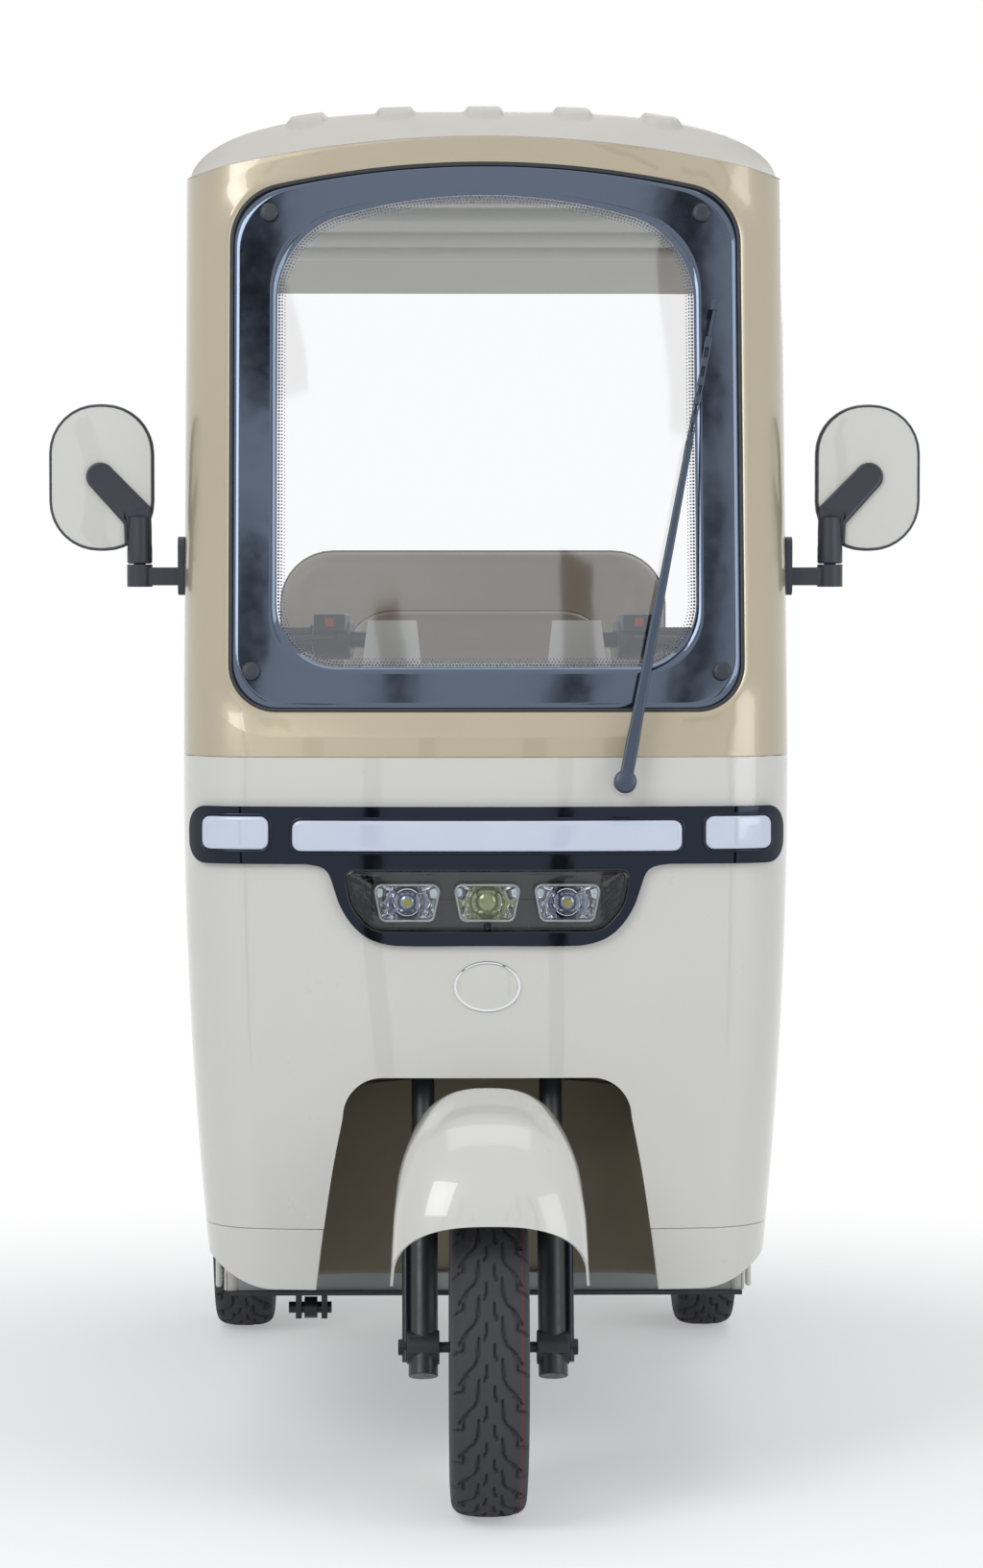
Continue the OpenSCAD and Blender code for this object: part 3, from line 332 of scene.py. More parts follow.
# Vulcanised rubber: dry dark grey with dust in its pores
TYRE = Finish("tyre_rubber", "#15171a", "#202225", drift_mm=60.0, roughness=0.78, uneven=0.08,
              relief_mm=1.5, relief=0.25)
# Marking line in the rubber: a thin dull red thread round the tread
RED_LINE = Finish("tyre_red_line", "#7a2a30", "#6a262b", drift_mm=30.0, roughness=0.7, relief_mm=2.0)
# Silver lacquer on a pressed wheel: bright flats and soft grey hollows
SILVER = Finish("wheel_silver", "#b9bbbd", "#a9abad", drift_mm=60.0, roughness=0.32, metallic=0.8, coat=0.5,
                relief_mm=3.0, relief=0.04)
# Rolled spring steel: grey metal with mill marks
STEEL = Finish("bare_steel", "#8d8f92", "#76787b", drift_mm=40.0, roughness=0.34, metallic=1.0,
               relief_mm=1.5, relief=0.1)
# Bright chrome: clean mirror that draws a thin white edge
CHROME = Finish("bright_chrome", "#e6e8ea", "#dcdee1", drift_mm=50.0, roughness=0.06, uneven=0.03,
                metallic=1.0, relief_mm=6.0, relief=0.01)
# Powder coat on the floor sheet: flat light grey with a pebbled skin
FLOOR = Finish("floor_powder_coat", "#a9acae", "#9c9fa1", drift_mm=150.0, roughness=0.5, relief_mm=2.0,
               relief=0.15)
# Embossed leatherette: pebble cells that give a soft broken sheen
LEATHERETTE = Finish("seat_leatherette", "#8c8172", "#7f7465", drift_mm=140.0, roughness=0.5, uneven=0.07,
                     relief_mm=3.2, relief=0.28, grain=Grain.CELLS, sheen=0.15)
# Opal acrylic of the light bar: milky pale blue under a clear skin
DIFFUSER = Finish("lamp_diffuser", "#cdd6e6", "#c3cde0", drift_mm=60.0, roughness=0.12, uneven=0.03,
                  coat=1.0, coat_roughness=0.03, relief_mm=6.0, relief=0.03)
# Moulded tail lens: deep red with a wet surface
RED_LENS = Finish("lens_red", "#8e1418", "#7a1014", drift_mm=30.0, roughness=0.1, coat=1.0, relief_mm=5.0)
# Ceramic print fired on the glass: black that mirrors a blue-grey sky
CERAMIC = Finish("ceramic_border", "#14171c", "#1a1e25", drift_mm=200.0, roughness=0.08, uneven=0.02,
                 ior=2.9, mirror="#b4c6e2", relief_mm=80.0, relief=0.01)
# Dark chrome frames: smoky mirror round the light bar
DARK_CHROME = Finish("dark_chrome", "#2a2e36", "#343944", drift_mm=60.0, roughness=0.12, metallic=1.0,
                     relief_mm=5.0, relief=0.01)
# Satin black bowl: keeps the recess dark behind its cover
LAMP_BOWL = Finish("lamp_bowl_black", "#0d0f14", "#13161d", drift_mm=70.0, roughness=0.3, coat=0.3,
                   relief_mm=5.0, relief=0.01)
# Satin silver lamp rims: pale even outlines
SATIN_RIM = Finish("satin_rim", "#f2f4f6", "#e8ebee", drift_mm=30.0, roughness=0.35, metallic=0.4, coat=0.6,
                   relief_mm=6.0, relief=0.01)
# Blue-coated reflector eye: cool violet depth
LAMP_BLUE = Finish("reflector_blue", "#6d7890", "#8791a6", drift_mm=9.0, roughness=0.1, metallic=0.7,
                   coat=1.0, relief_mm=6.0, relief=0.05)
# Green-coated lens of the main lamp: olive glow
LAMP_GREEN = Finish("reflector_green", "#7d8656", "#97a06e", drift_mm=9.0, roughness=0.12, metallic=0.5,
                    coat=1.0, relief_mm=6.0, relief=0.05)
# Phosphor of the light source: flat warm yellow
LAMP_YELLOW = Finish("lamp_chip", "#c8b845", "#b3a43c", drift_mm=8.0, roughness=0.4, relief_mm=2.0)
# Oiled fork castings: dark metal with a sharp highlight
FORK_STEEL = Finish("fork_steel", "#1d2127", "#2b3038", drift_mm=25.0, roughness=0.3, metallic=0.6,
                    relief_mm=1.5, relief=0.1)
# Grip rubber: dull black that the hands have rubbed a little
GRIP_RUBBER = Finish("grip_rubber", "#15171a", "#1e2023", drift_mm=30.0, roughness=0.72, relief_mm=1.2,
                     relief=0.2)
# Switch plastic: plain signal red
SWITCH_RED = Finish("switch_red", "#d9502f", "#cc4526", drift_mm=20.0, roughness=0.4, relief_mm=2.0)
# Moulded mirror body: blue-black with a silky highlight
MIRROR_BLACK = Finish("mirror_moulding", "#262c34", "#2f363f", drift_mm=60.0, roughness=0.42, relief_mm=1.2,
                      relief=0.12)
# Silvered glass: clear mirror
MIRROR = Finish("silvered_glass", "#d8dde2", "#d2d7dc", drift_mm=200.0, roughness=0.03, uneven=0.01,
                metallic=1.0, relief_mm=20.0, relief=0.0)
# Wiper lacquer: slate grey with a metal sheen
WIPER_GREY = Finish("wiper_lacquer", "#3d4858", "#465264", drift_mm=60.0, roughness=0.35, metallic=0.3,
                    relief_mm=1.5, relief=0.06)
# Seat piping: dark brown cord that draws the seam
PIPING = Finish("seat_piping", "#4e463a", "#574e41", drift_mm=60.0, roughness=0.5, relief_mm=1.5, relief=0.15)
# Black velvet of the studio flags: dark streaks in what is glossy
STUDIO_BLACK = Finish("velvet_black", "#050505", "#070707", roughness=0.95, ior=1.1, relief_mm=10.0)
# Toughened glass: nearly clear with a pale sky on it
GLASS = ClearFinish("screen_glass", "#dde4ea", opacity=0.16)
# Clear lamp cover: only its edge shows
LAMP_COVER = ClearFinish("lamp_cover", "#dfe6ec", opacity=0.02)


# Making pieces


def mapped_grid(columns: int, rows: int, place: Place, outwards: Vector,
                ring: bool = False) -> bmesh.types.BMesh:
    """Grid of quads whose corners are put in place by a formula.

    Args:
        columns: Quads along u.
        rows: Quads along v.
        place: Point for u and v from 0 to 1.
        outwards: Direction that the faces should show on the whole.
        ring: True where the last column meets the first.

    Returns:
        The bmesh.
    """
    shape = bmesh.new()
    bmesh.ops.create_grid(shape, x_segments=columns, y_segments=rows, size=0.5)
    for vert in shape.verts:
        vert.co = place(vert.co.x + 0.5, vert.co.y + 0.5)
    if ring:
        bmesh.ops.remove_doubles(shape, verts=shape.verts, dist=1e-6)
    shape.normal_update()
    facing = sum((f.normal * f.calc_area() for f in shape.faces), Vector())
    if facing.dot(outwards) < 0:
        bmesh.ops.reverse_faces(shape, faces=shape.faces)
    return shape


def linked(name: str, shape: bmesh.types.BMesh) -> bpy.types.Object:
    """Object in the scene made of a bmesh, which is used up."""
    mesh = bpy.data.meshes.new(name)
    shape.to_mesh(mesh)
    shape.free()
    thing = bpy.data.objects.new(name, mesh)
    bpy.context.scene.collection.objects.link(thing)
    return thing


def moved(shape: bmesh.types.BMesh, place: Matrix) -> bmesh.types.BMesh:
    """The same bmesh after a transform."""
    bmesh.ops.transform(shape, matrix=place, verts=shape.verts)
    return shape


def add_piece(name: str, shape: bmesh.types.BMesh, body: str, finish, replaces: Sequence[str] = (),
              thickness: float = 0.0, round_edge: float = 0.0, subdivide: int = 0,
              sharp_deg: float = 35.0) -> bpy.types.Object:
    """Turns a bmesh into a finished piece that rides on a body.

    Args:
        name: The piece's name.
        shape: Its shape, which is used up.
        body: The body that it moves with.
        finish: Its finish, or several, one for each material index.
        replaces: Frame nodes that it stands for.
        thickness: Wall that is added behind the faces.
        round_edge: Width of the rounding on its edges.
        subdivide: Levels of subdivision.
        sharp_deg: Edges that turn by more than this stay crisp.

    Returns:
        The new object.
    """
    piece = linked(name, shape)
    mesh = piece.data
    mesh.polygons.foreach_set("use_smooth", [True] * len(mesh.polygons))
    for one in (finish if isinstance(finish, (list, tuple)) else [finish]):
        mesh.materials.append(one.build())
    if thickness:
        wall = piece.modifiers.new("Wall", "SOLIDIFY")
        wall.thickness = thickness
        wall.offset = -1.0
    if subdivide:
        rounder = piece.modifiers.new("Smooth", "SUBSURF")
        rounder.levels = subdivide
        rounder.render_levels = subdivide
    if round_edge:
        bevel = piece.modifiers.new("Edges", "BEVEL")
        bevel.width = round_edge
        bevel.segments = 3
        bevel.limit_method = "ANGLE"
        bevel.angle_limit = math.radians(sharp_deg)
        bevel.use_clamp_overlap = True
    if not subdivide:
        mesh.set_sharp_from_angle(angle=math.radians(sharp_deg))
        if round_edge:
            piece.modifiers.new("Normals", "WEIGHTED_NORMAL").keep_sharp = True
    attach(piece, body)
    if replaces:
        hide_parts(*replaces)
    LOG.info("%s: %d faces on %s", name, len(mesh.polygons), body)
    return piece


def softened(frame: dict, node: str, finish, width: float = 1.5 * MM,
             sharp_deg: float = 32.0) -> bpy.types.Object:
    """Merged copy of a frame node with rounded edges, which stands for that node.

    Args:
        node: The node's name.
        finish: Its finish.
        width: Width of the rounding.
        sharp_deg: Edges that turn by more than this are rounded.

    Returns:
        The new piece.
    """
    shape = bmesh.new()
    shape.from_mesh(frame["nodes"][node].data)
    bmesh.ops.remove_doubles(shape, verts=shape.verts, dist=1e-5)
    bmesh.ops.dissolve_limit(shape, angle_limit=math.radians(0.5), verts=shape.verts, edges=shape.edges)
    body = next(b for b, nodes in frame["record"]["behaviour"]["bodies"].items() if node in nodes)
    return add_piece(f"{node}_finished", shape, body, finish, [node], round_edge=width,
                     sharp_deg=sharp_deg)


def spun(profile: Sequence[Point2], centre: Vector, axis: Vector, steps: int = 64) -> bmesh.types.BMesh:
    """Surface of revolution.

    Args:
        profile: Distance along the axis and radius, from one end to the other.
        centre: Point on the axis where the first number is 0.
        axis: Direction of the axis.
        steps: Steps round the axis.

    Returns:
        The closed bmesh.
    """
    shape = bmesh.new()
    axis = axis.normalized()
    side = axis.orthogonal().normalized()
    verts = [shape.verts.new(centre + axis * along + side * radius) for along, radius in profile]
    edges = [shape.edges.new(pair) for pair in zip(verts, verts[1:])]
    bmesh.ops.spin(shape, geom=verts + edges, cent=centre, axis=axis, angle=2 * math.pi, steps=steps,
                   use_merge=True)
    bmesh.ops.remove_doubles(shape, verts=shape.verts, dist=1e-6)
    bmesh.ops.recalc_face_normals(shape, faces=shape.faces)
    return shape


def swept_tube(points: Sequence[Vector], radius: float, sides: int = 12, steps: int = 6) -> bmesh.types.BMesh:
    """Round tube along a smooth curve through some points.

    Args:
        points: Points on its middle line.
        radius: Its radius.
        sides: Sides of its section.
        steps: Rings between two points.

    Returns:
        The closed bmesh.
    """
    rows = [[float(k), *p] for k, p in enumerate(points)]
    count = (len(points) - 1) * steps
    line = [Vector(interpolated(rows, k / steps)) for k in range(count + 1)]
    shape = bmesh.new()
    side = (line[1] - line[0]).orthogonal().normalized()
    rings = []
    for k, centre in enumerate(line):
        ahead = (line[min(count, k + 1)] - line[max(0, k - 1)]).normalized()
        side = (side - ahead * side.dot(ahead)).normalized()
        ring = bmesh.ops.create_circle(shape, segments=sides, radius=radius,
                                       cap_ends=k in (0, count))["verts"]
        turn = Matrix((side, ahead.cross(side), ahead)).transposed().to_4x4()
        bmesh.ops.transform(shape, matrix=Matrix.Translation(centre) @ turn, verts=ring)
        rings.append(ring)
    for a, b in zip(rings, rings[1:]):
        for k in range(sides):
            shape.faces.new((a[k], a[(k + 1) % sides], b[(k + 1) % sides], b[k]))
    bmesh.ops.recalc_face_normals(shape, faces=shape.faces)
    return shape


def carved(piece: bpy.types.Object, cutter: bmesh.types.BMesh) -> None:
    """Cuts a shape out of a piece for good, walls included; the shape is used up."""
    tool = linked("cutter", cutter)
    cut = piece.modifiers.new("Cut", "BOOLEAN")
    cut.object = tool
    cut.solver = "EXACT"
    later = [m for m in piece.modifiers if m.type in {"BEVEL", "WEIGHTED_NORMAL"}]
    for modifier in later:
        modifier.show_viewport = False
    bpy.context.view_layer.update()
    result = bpy.data.meshes.new_from_object(piece.evaluated_get(bpy.context.evaluated_depsgraph_get()))
    for modifier in [m for m in piece.modifiers if m not in later]:
        piece.modifiers.remove(modifier)
    for modifier in later:
        modifier.show_viewport = True
    old, spare = piece.data, tool.data
    piece.data = result
    result.set_sharp_from_angle(angle=math.radians(35))
    bpy.data.objects.remove(tool)
    for mesh in (old, spare):
        bpy.data.meshes.remove(mesh)


def rounded(corners: Sequence[tuple[float, float, float]], count: int) -> list[Point2]:
    """Closed outline with rounded corners, in even steps.

    Args:
        corners: Each corner with its radius, counter-clockwise.
        count: Number of steps round the outline.

    Returns:
        count + 1 points, the last the same as the first.
    """
    points: list[Point2] = []
    for k, (x, y, r) in enumerate(corners):
        here = Vector((x, y))
        back = (Vector(corners[k - 1][:2]) - here).normalized()
        ahead = (Vector(corners[(k + 1) % len(corners)][:2]) - here).normalized()
        half = back.angle(ahead) / 2
        reach = r / math.tan(half)
        middle = here + (back + ahead).normalized() * (r / math.sin(half))
        start, end = here + back * reach - middle, here + ahead * reach - middle
        turn = math.atan2(start.x * end.y - start.y * end.x, start.dot(end))
        for j in range(9):
            a = turn * j / 8
            points.append((middle.x + start.x * math.cos(a) - start.y * math.sin(a),
                           middle.y + start.x * math.sin(a) + start.y * math.cos(a)))
    return spaced(points + [points[0]], count)


def box_outline(x0: float, y0: float, x1: float, y1: float, r: float, count: int = 96) -> list[Point2]:
    """Rounded rectangle as a closed outline."""
    return rounded([(x0, y0, r), (x1, y0, r), (x1, y1, r), (x0, y1, r)], count)


def grown(outline: Sequence[Point2], distance: float) -> list[Point2]:
    """Counter-clockwise closed outline moved outwards by a distance."""
    count = len(outline) - 1
    moved = []
    for k in range(count):
        before, after = outline[(k - 1) % count], outline[(k + 1) % count]
        ahead = Vector((after[0] - before[0], after[1] - before[1])).normalized()
        moved.append((outline[k][0] + ahead.y * distance, outline[k][1] - ahead.x * distance))
    return moved + [moved[0]]


def from_rings(rings: Sequence[Sequence[Vector]], outwards: Optional[Vector] = None) -> bmesh.types.BMesh:
    """Surface through closed rings of equal counts.

    Args:
        rings: The rings, each with its last point the same as its first.
        outwards: Direction that an open surface shows on the whole, or None for a closed one.

    Returns:
        The bmesh.
    """
    columns, rows = len(rings[0]) - 1, len(rings) - 1
    shape = mapped_grid(columns, rows, lambda u, v: rings[round(v * rows)][round(u * columns)],
                        outwards or FORWARD, ring=True)
    if outwards is None:
        bmesh.ops.recalc_face_normals(shape, faces=shape.faces)
    return shape


def box_shape(low: Sequence[float], high: Sequence[float]) -> bmesh.types.BMesh:
    """Box between two corners."""
    shape = bmesh.new()
    size = [b - a for a, b in zip(low, high)]
    middle = [(a + b) / 2 for a, b in zip(low, high)]
    bmesh.ops.create_cube(shape, size=1.0, matrix=Matrix.Translation(middle) @ Matrix.Diagonal((*size, 1.0)))
    return shape


def joined(*shapes: bmesh.types.BMesh) -> bmesh.types.BMesh:
    """Several bmeshes as one; the others are used up."""
    first = shapes[0]
    for other in shapes[1:]:
        mesh = bpy.data.meshes.new("joining")
        other.to_mesh(mesh)
        other.free()
        first.from_mesh(mesh)
        bpy.data.meshes.remove(mesh)
    return first


FORWARD = Vector((0, -1, 0))
UP = Vector((0, 0, 1))
RIGHT = Vector((1, 0, 0))


@dataclass(frozen=True)
class BodyShape:
    """Surface that the front panels share: a front arc, corner arcs and straight sides in plan.

    Args:
        half_width: Half width at and above the belt line.
        face_y: Y of the front face at the belt line.
        seam_z: Height of the belt line.
        skirt_z: Lowest edge.
        skirt_seam_z: Seam above the corner skirts.
        front_radius: Radius of the front face in plan.
        corner_radius: Radius of the corners in plan.
        side_depth: Distance from the front face to the door opening.
        bottom_taper: How far each side draws in at the bottom.
        nose_out: How far the lower face stands forward.
        lean_deg: Lean of the windscreen.
    """

    half_width: float
    face_y: float
    seam_z: float
    skirt_z: float
    skirt_seam_z: float
    front_radius: float = 2.6
    corner_radius: float = 0.095
    side_depth: float = 0.32
    bottom_taper: float = 0.037
    nose_out: float = 0.018
    lean_deg: float = 10.0

    @classmethod
    def from_frame(cls) -> "BodyShape":
        """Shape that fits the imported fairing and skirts."""
        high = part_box("front_fairing")[1]
        skirt_low, skirt_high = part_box("front_skirts")
        tyre_low, tyre_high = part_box("front_tyre")
        axle_y = (tyre_low[1] + tyre_high[1]) / 2
        return cls(half_width=round(high[0], 4), face_y=round(axle_y + 0.082, 4), seam_z=round(high[2], 3),
                   skirt_z=round(skirt_low[2], 3), skirt_seam_z=round(skirt_high[2], 3))

    def half_w(self, z: float) -> float:
        """Half width at height z."""
        if z >= self.seam_z:
            return self.half_width
        return self.half_width - self.bottom_taper * ((self.seam_z - z) / (self.seam_z - self.skirt_z)) ** 2

    def lean_y(self, z: float) -> float:
        """How far back the front face lies at height z."""
        if z >= self.seam_z:
            return (z - self.seam_z) * math.tan(math.radians(self.lean_deg))
        share = (self.seam_z - z) / (self.seam_z - self.skirt_seam_z)
        return -self.nose_out * math.sin(math.pi / 2 * min(1.0, share))

    def corner_a(self, z: float) -> float:
        """Angle at which the front arc meets the corner arc."""
        return math.asin((self.half_w(z) - self.corner_radius) / (self.front_radius - self.corner_radius))

    def corner_y(self, z: float) -> float:
        """Y of the corner arc's centre, from the face."""
        reach = self.front_radius - self.corner_radius
        return self.front_radius - reach * math.cos(self.corner_a(z))

    def front_s(self, z: float) -> float:
        """Arc length from the middle to the corner arc."""
        return self.front_radius * self.corner_a(z)

    def corner_s(self, z: float) -> float:
        """Arc length from the middle to the straight side."""
        return self.front_s(z) + self.corner_radius * (math.pi / 2 - self.corner_a(z))

    def side_s(self, z: float) -> float:
        """Arc length from the middle to the door opening."""
        return self.corner_s(z) + self.side_depth - self.lean_y(z) - self.corner_y(z)

    def point(self, s: float, z: float, off: float = 0.0) -> Vector:
        """Point on the body.

        Args:
            s: Arc length from the middle, positive to +X.
            z: Height.
            off: Distance inwards, negative outwards.

        Returns:
            The point.
        """
        a = abs(s)
        if a <= self.front_s(z):
            turn = a / self.front_radius
            x = (self.front_radius - off) * math.sin(turn)
            y = self.front_radius - (self.front_radius - off) * math.cos(turn)
        elif a <= self.corner_s(z):
            turn = self.corner_a(z) + (a - self.front_s(z)) / self.corner_radius
            x = self.half_w(z) - self.corner_radius + (self.corner_radius - off) * math.sin(turn)
            y = self.corner_y(z) - (self.corner_radius - off) * math.cos(turn)
        else:
            x = self.half_w(z) - off
            y = self.corner_y(z) + a - self.corner_s(z)
        return Vector((math.copysign(x, s), self.face_y + self.lean_y(z) + y, z))

    def s_of_x(self, x: float, z: float) -> float:
        """Arc length of the body point whose X is x."""
        a = abs(x)
        if a <= self.front_radius * math.sin(self.corner_a(z)):
            s = self.front_radius * math.asin(a / self.front_radius)
        else:
            share = min(1.0, (a - self.half_w(z) + self.corner_radius) / self.corner_radius)
            s = self.front_s(z) + self.corner_radius * (math.asin(share) - self.corner_a(z))
        return math.copysign(s, x)

    def s_of_u(self, u: float, z: float) -> float:
        """Arc length of column u: 0 to 1 is the front, 1 to 2 the corner and 2 to 3 the side."""
        a = abs(u)
        stops = [0.0, self.front_s(z), self.corner_s(z), self.side_s(z)]
        k = min(2, int(a))
        return math.copysign(mix(stops[k], stops[k + 1], a - k), u)


def lamp_recess() -> list[Point2]:
    """Outline of the headlamp recess, as x and height."""
    return rounded([(-0.152, 0.749, 0.040), (0.152, 0.749, 0.040), (0.1795, 0.782, 0.050),
                    (0.189, 0.831, 0.012), (-0.189, 0.831, 0.012), (-0.1795, 0.782, 0.050)], 240)


def tunnel(outline: list[Point2], grow: float, face_y: float) -> bmesh.types.BMesh:
    """Closed cutter that goes through the front face inside an outline."""
    edge = grown(outline, grow)
    middle = sum(z for _, z in edge) / len(edge)
    rings = [[Vector((x * s, face_y + y, mix(middle, z, s))) for x, z in edge]
             for y, s in ((-0.06, 0.0), (-0.06, 1.0), (0.04, 1.0), (0.04, 0.0))]
    return from_rings(rings)


@dataclass
class FrontFairing:
    """Lower front fairing with the wheel arch, and the corner skirts under it."""

    shape: BodyShape
    gap: float = 0.4 * MM
    wall: float = 5 * MM
    arch_top_z: float = 0.559
    arch_top_w: float = 0.137
    arch_corner: float = 0.052
    arch_foot_w: float = 0.214

    def arch_w(self, z: float) -> float:
        """Half width of the wheel arch at height z, below its corners."""
        knee_z = self.arch_top_z - self.arch_corner
        rows = [[self.shape.skirt_z, self.arch_foot_w + 0.010], [self.shape.skirt_seam_z, self.arch_foot_w],
                [0.440, self.arch_foot_w - 0.012], [knee_z, self.arch_top_w + self.arch_corner]]
        return interpolated(rows, z)[0]

    def arch_outline(self, count: int) -> list[Point2]:
        """Left half of the arch, from its foot to the middle, as arc length and height."""
        low = self.shape.skirt_seam_z + self.gap
        knee_z = self.arch_top_z - self.arch_corner
        points = [(-self.arch_w(mix(low, knee_z, k / 12)), mix(low, knee_z, k / 12)) for k in range(13)]
        for k in range(1, 17):
            a = math.pi / 2 * k / 16
            points.append((-self.arch_top_w - self.arch_corner * math.cos(a),
                           knee_z + self.arch_corner * math.sin(a)))
        points.append((0.0, self.arch_top_z))
        return spaced(points, count)

    def outer_outline(self, count: int) -> list[Point2]:
        """Left half of the fairing's outer edge, matched to the arch."""
        body = self.shape
        low = body.skirt_seam_z + self.gap
        top = body.seam_z - self.gap
        points = [(-body.side_s(mix(low, top, k / 12)), mix(low, top, k / 12)) for k in range(13)]
        points.append((0.0, top))
        return spaced(points, count)

    def build(self) -> None:
        """Makes the fairing and both skirts."""
        body = self.shape
        half = 70
        inner = self.arch_outline(half)
        outer = self.outer_outline(half)
        inner += [(-s, z) for s, z in reversed(inner[:-1])]
        outer += [(-s, z) for s, z in reversed(outer[:-1])]
        columns = 2 * half

        def on_fairing(u: float, v: float) -> Vector:
            """Point between the arch and the outer edge."""
            k = round(u * columns)
            return body.point(mix(inner[k][0], outer[k][0], v), mix(inner[k][1], outer[k][1], v))

        panel = mapped_grid(columns, 80, on_fairing, FORWARD)
        piece = add_piece("fairing", panel, "chassis", FAIRING, ["front_fairing"],
                          thickness=self.wall, round_edge=1.6 * MM)
        carved(piece, tunnel(lamp_recess(), 5 * MM, body.face_y))
        skirts = joined(self.skirt(-1), self.skirt(1))
        add_piece("corner_skirts", skirts, "chassis", FAIRING, ["front_skirts"],
                  thickness=self.wall, round_edge=1.6 * MM)

    def skirt(self, side: int) -> bmesh.types.BMesh:
        """One corner skirt, on the side given by its sign."""
        body = self.shape
        top = body.skirt_seam_z - self.gap
        rise = 0.040

        def on_skirt(u: float, v: float) -> Vector:
            """Point of the skirt, from the arch round the corner."""
            column = mix(0.55, 3.0, u)
            turn = min(1.0, max(0.0, column - 1))
            bottom = body.skirt_z + rise * (1 - math.cos(math.pi * turn)) / 2
            z = mix(bottom, top, v)
            edge = self.arch_w(z)
            start = body.s_of_u(0.55, z)
            s = body.s_of_u(column, z)
            blend = max(0.0, 1 - (column - 0.55) / 0.45)
            return body.point(side * (s + (edge - start) * blend), z)

        return mapped_grid(60, 14, on_skirt, FORWARD)


@dataclass
class ScreenSurround:
    """Champagne panel round the windscreen, the pane, its printed border and its rubber."""

    shape: BodyShape
    gap: float = 0.4 * MM
    wall: float = 5 * MM
    glass_w: float = 0.336
    glass_bottom: float = 1.038
    glass_top: float = 1.759
    glass_t: float = 5 * MM
    glass_radius: float = 5.0
    recess: float = 14 * MM
    band_w: float = 34 * MM
    roof_edge_z: float = 1.745
    counts: tuple[int, int, int, int, int] = (26, 14, 46, 16, 24)

    def glass_y(self, x: float, z: float) -> float:
        """Y of the pane's front at x and z."""
        body = self.shape
        bulge = self.glass_radius - math.sqrt(self.glass_radius**2 - x * x)
        return body.face_y + self.recess + body.lean_y(z) + bulge / math.cos(math.radians(body.lean_deg))

    def rounded_outline(self, grow: float, radii: Point2 = (0.060, 0.076), sides: float = 0.0,
                        bottom: float = 0.0, top: float = 0.0, arch: float = 0.030) -> list[Point2]:
        """Closed outline like the pane's, from the bottom middle clockwise, as x and height.

        Args:
            grow: How far it lies outside the pane's edge.
            radii: Corner radii at the bottom and the top.
            sides: Extra distance inwards at the sides.
            bottom: Extra distance inwards at the bottom.
            top: Extra distance inwards at the top.
            arch: Rise of the top edge.

        Returns:
            The outline's points, the last the same as the first.
        """
        w = self.glass_w + grow - sides
        rb, rt = radii[0] + grow, radii[1] + grow
        b = self.glass_bottom - grow + bottom
        t = self.glass_top + grow - top
        shoulder = t - arch
        n = self.counts
        half = [(-(w - rb) * k / n[0], b) for k in range(n[0])]
        for k in range(n[1]):
            a = math.pi / 2 * k / n[1]
            half.append((-w + rb - rb * math.sin(a), b + rb - rb * math.cos(a)))
        half += [(-w, mix(b + rb, shoulder - rt * math.cos(math.atan(2 * arch / (w - rt))), k / n[2]))
                 for k in range(n[2])]
        slope = math.atan(2 * arch / (w - rt))
        for k in range(n[3]):
            a = (math.pi / 2 - slope) * k / n[3]
            half.append((-w + rt - rt * math.cos(a), shoulder - rt * math.cos(slope) + rt * math.sin(a)))
        span = w - rt + rt * math.sin(slope)
        for k in range(n[4] + 1):
            x = -span * (1 - k / n[4])
            rise = arch * (1 - (x / span) ** 2)
            half.append((x, shoulder + rise))
        return half + [(-x, z) for x, z in reversed(half[:-1])]

    def outer_outline(self) -> list[Point2]:
        """Outer edge of the panel, matched to the pane's outline, as arc length and height."""
        body = self.shape
        b = body.seam_z + self.gap
        top = self.roof_edge_z - self.gap
        n = self.counts
        s1, s2, s3 = body.front_s(b), body.corner_s(b), body.side_s(b)
        half = [(-s1 * k / n[0], b) for k in range(n[0])]
        corner = spaced([(-s1, b), (-s2, b), (-s3, b)], n[1])
        half += corner[:-1]
        half += [(-body.side_s(mix(b, top, k / n[2])), mix(b, top, k / n[2])) for k in range(n[2])]
        t1, t2, t3 = body.front_s(top), body.corner_s(top), body.side_s(top)
        corner = spaced([(-t3, top), (-t2, top), (-t1 - 0.02, top + self.crown(t1 + 0.02))], n[3])
        half += [(s, top + self.crown(s) if abs(s) < t2 else top) for s, z in corner[:-1]]
        half += [(-(t1 + 0.02) * (1 - k / n[4]), top + self.crown((t1 + 0.02) * (1 - k / n[4])))
                 for k in range(n[4] + 1)]
        return half + [(-s, z) for s, z in reversed(half[:-1])]

    @staticmethod
    def crown(s: float) -> float:
        """Rise of the roof seam above its ends at arc length s."""
        return 0.050 * max(0.0, 1 - (s / 0.4) ** 2)

    def build(self) -> None:
        """Makes the panel, the pane, the border and the rubber."""
        body = self.shape
        lip = self.glass_t + 0.3 * MM
        # Rows from under the glass out to the crease: growth of the outline and depth from the pane
        rows = [(-30 * MM, lip), (1.4 * MM, lip), (2.2 * MM, lip - 1 * MM), (2.4 * MM, 0.0),
                (3.2 * MM, -2.4 * MM), (5 * MM, -3.4 * MM), (9 * MM, -4.2 * MM)]
        edge = self.outer_outline()
        crease = [(body.s_of_x(x, z), z) for x, z in self.rounded_outline(self.band_w)]
        columns = len(edge) - 1
        chamfer, round_over, face = 9, 6, 26
        total = len(rows) - 1 + chamfer + round_over + face

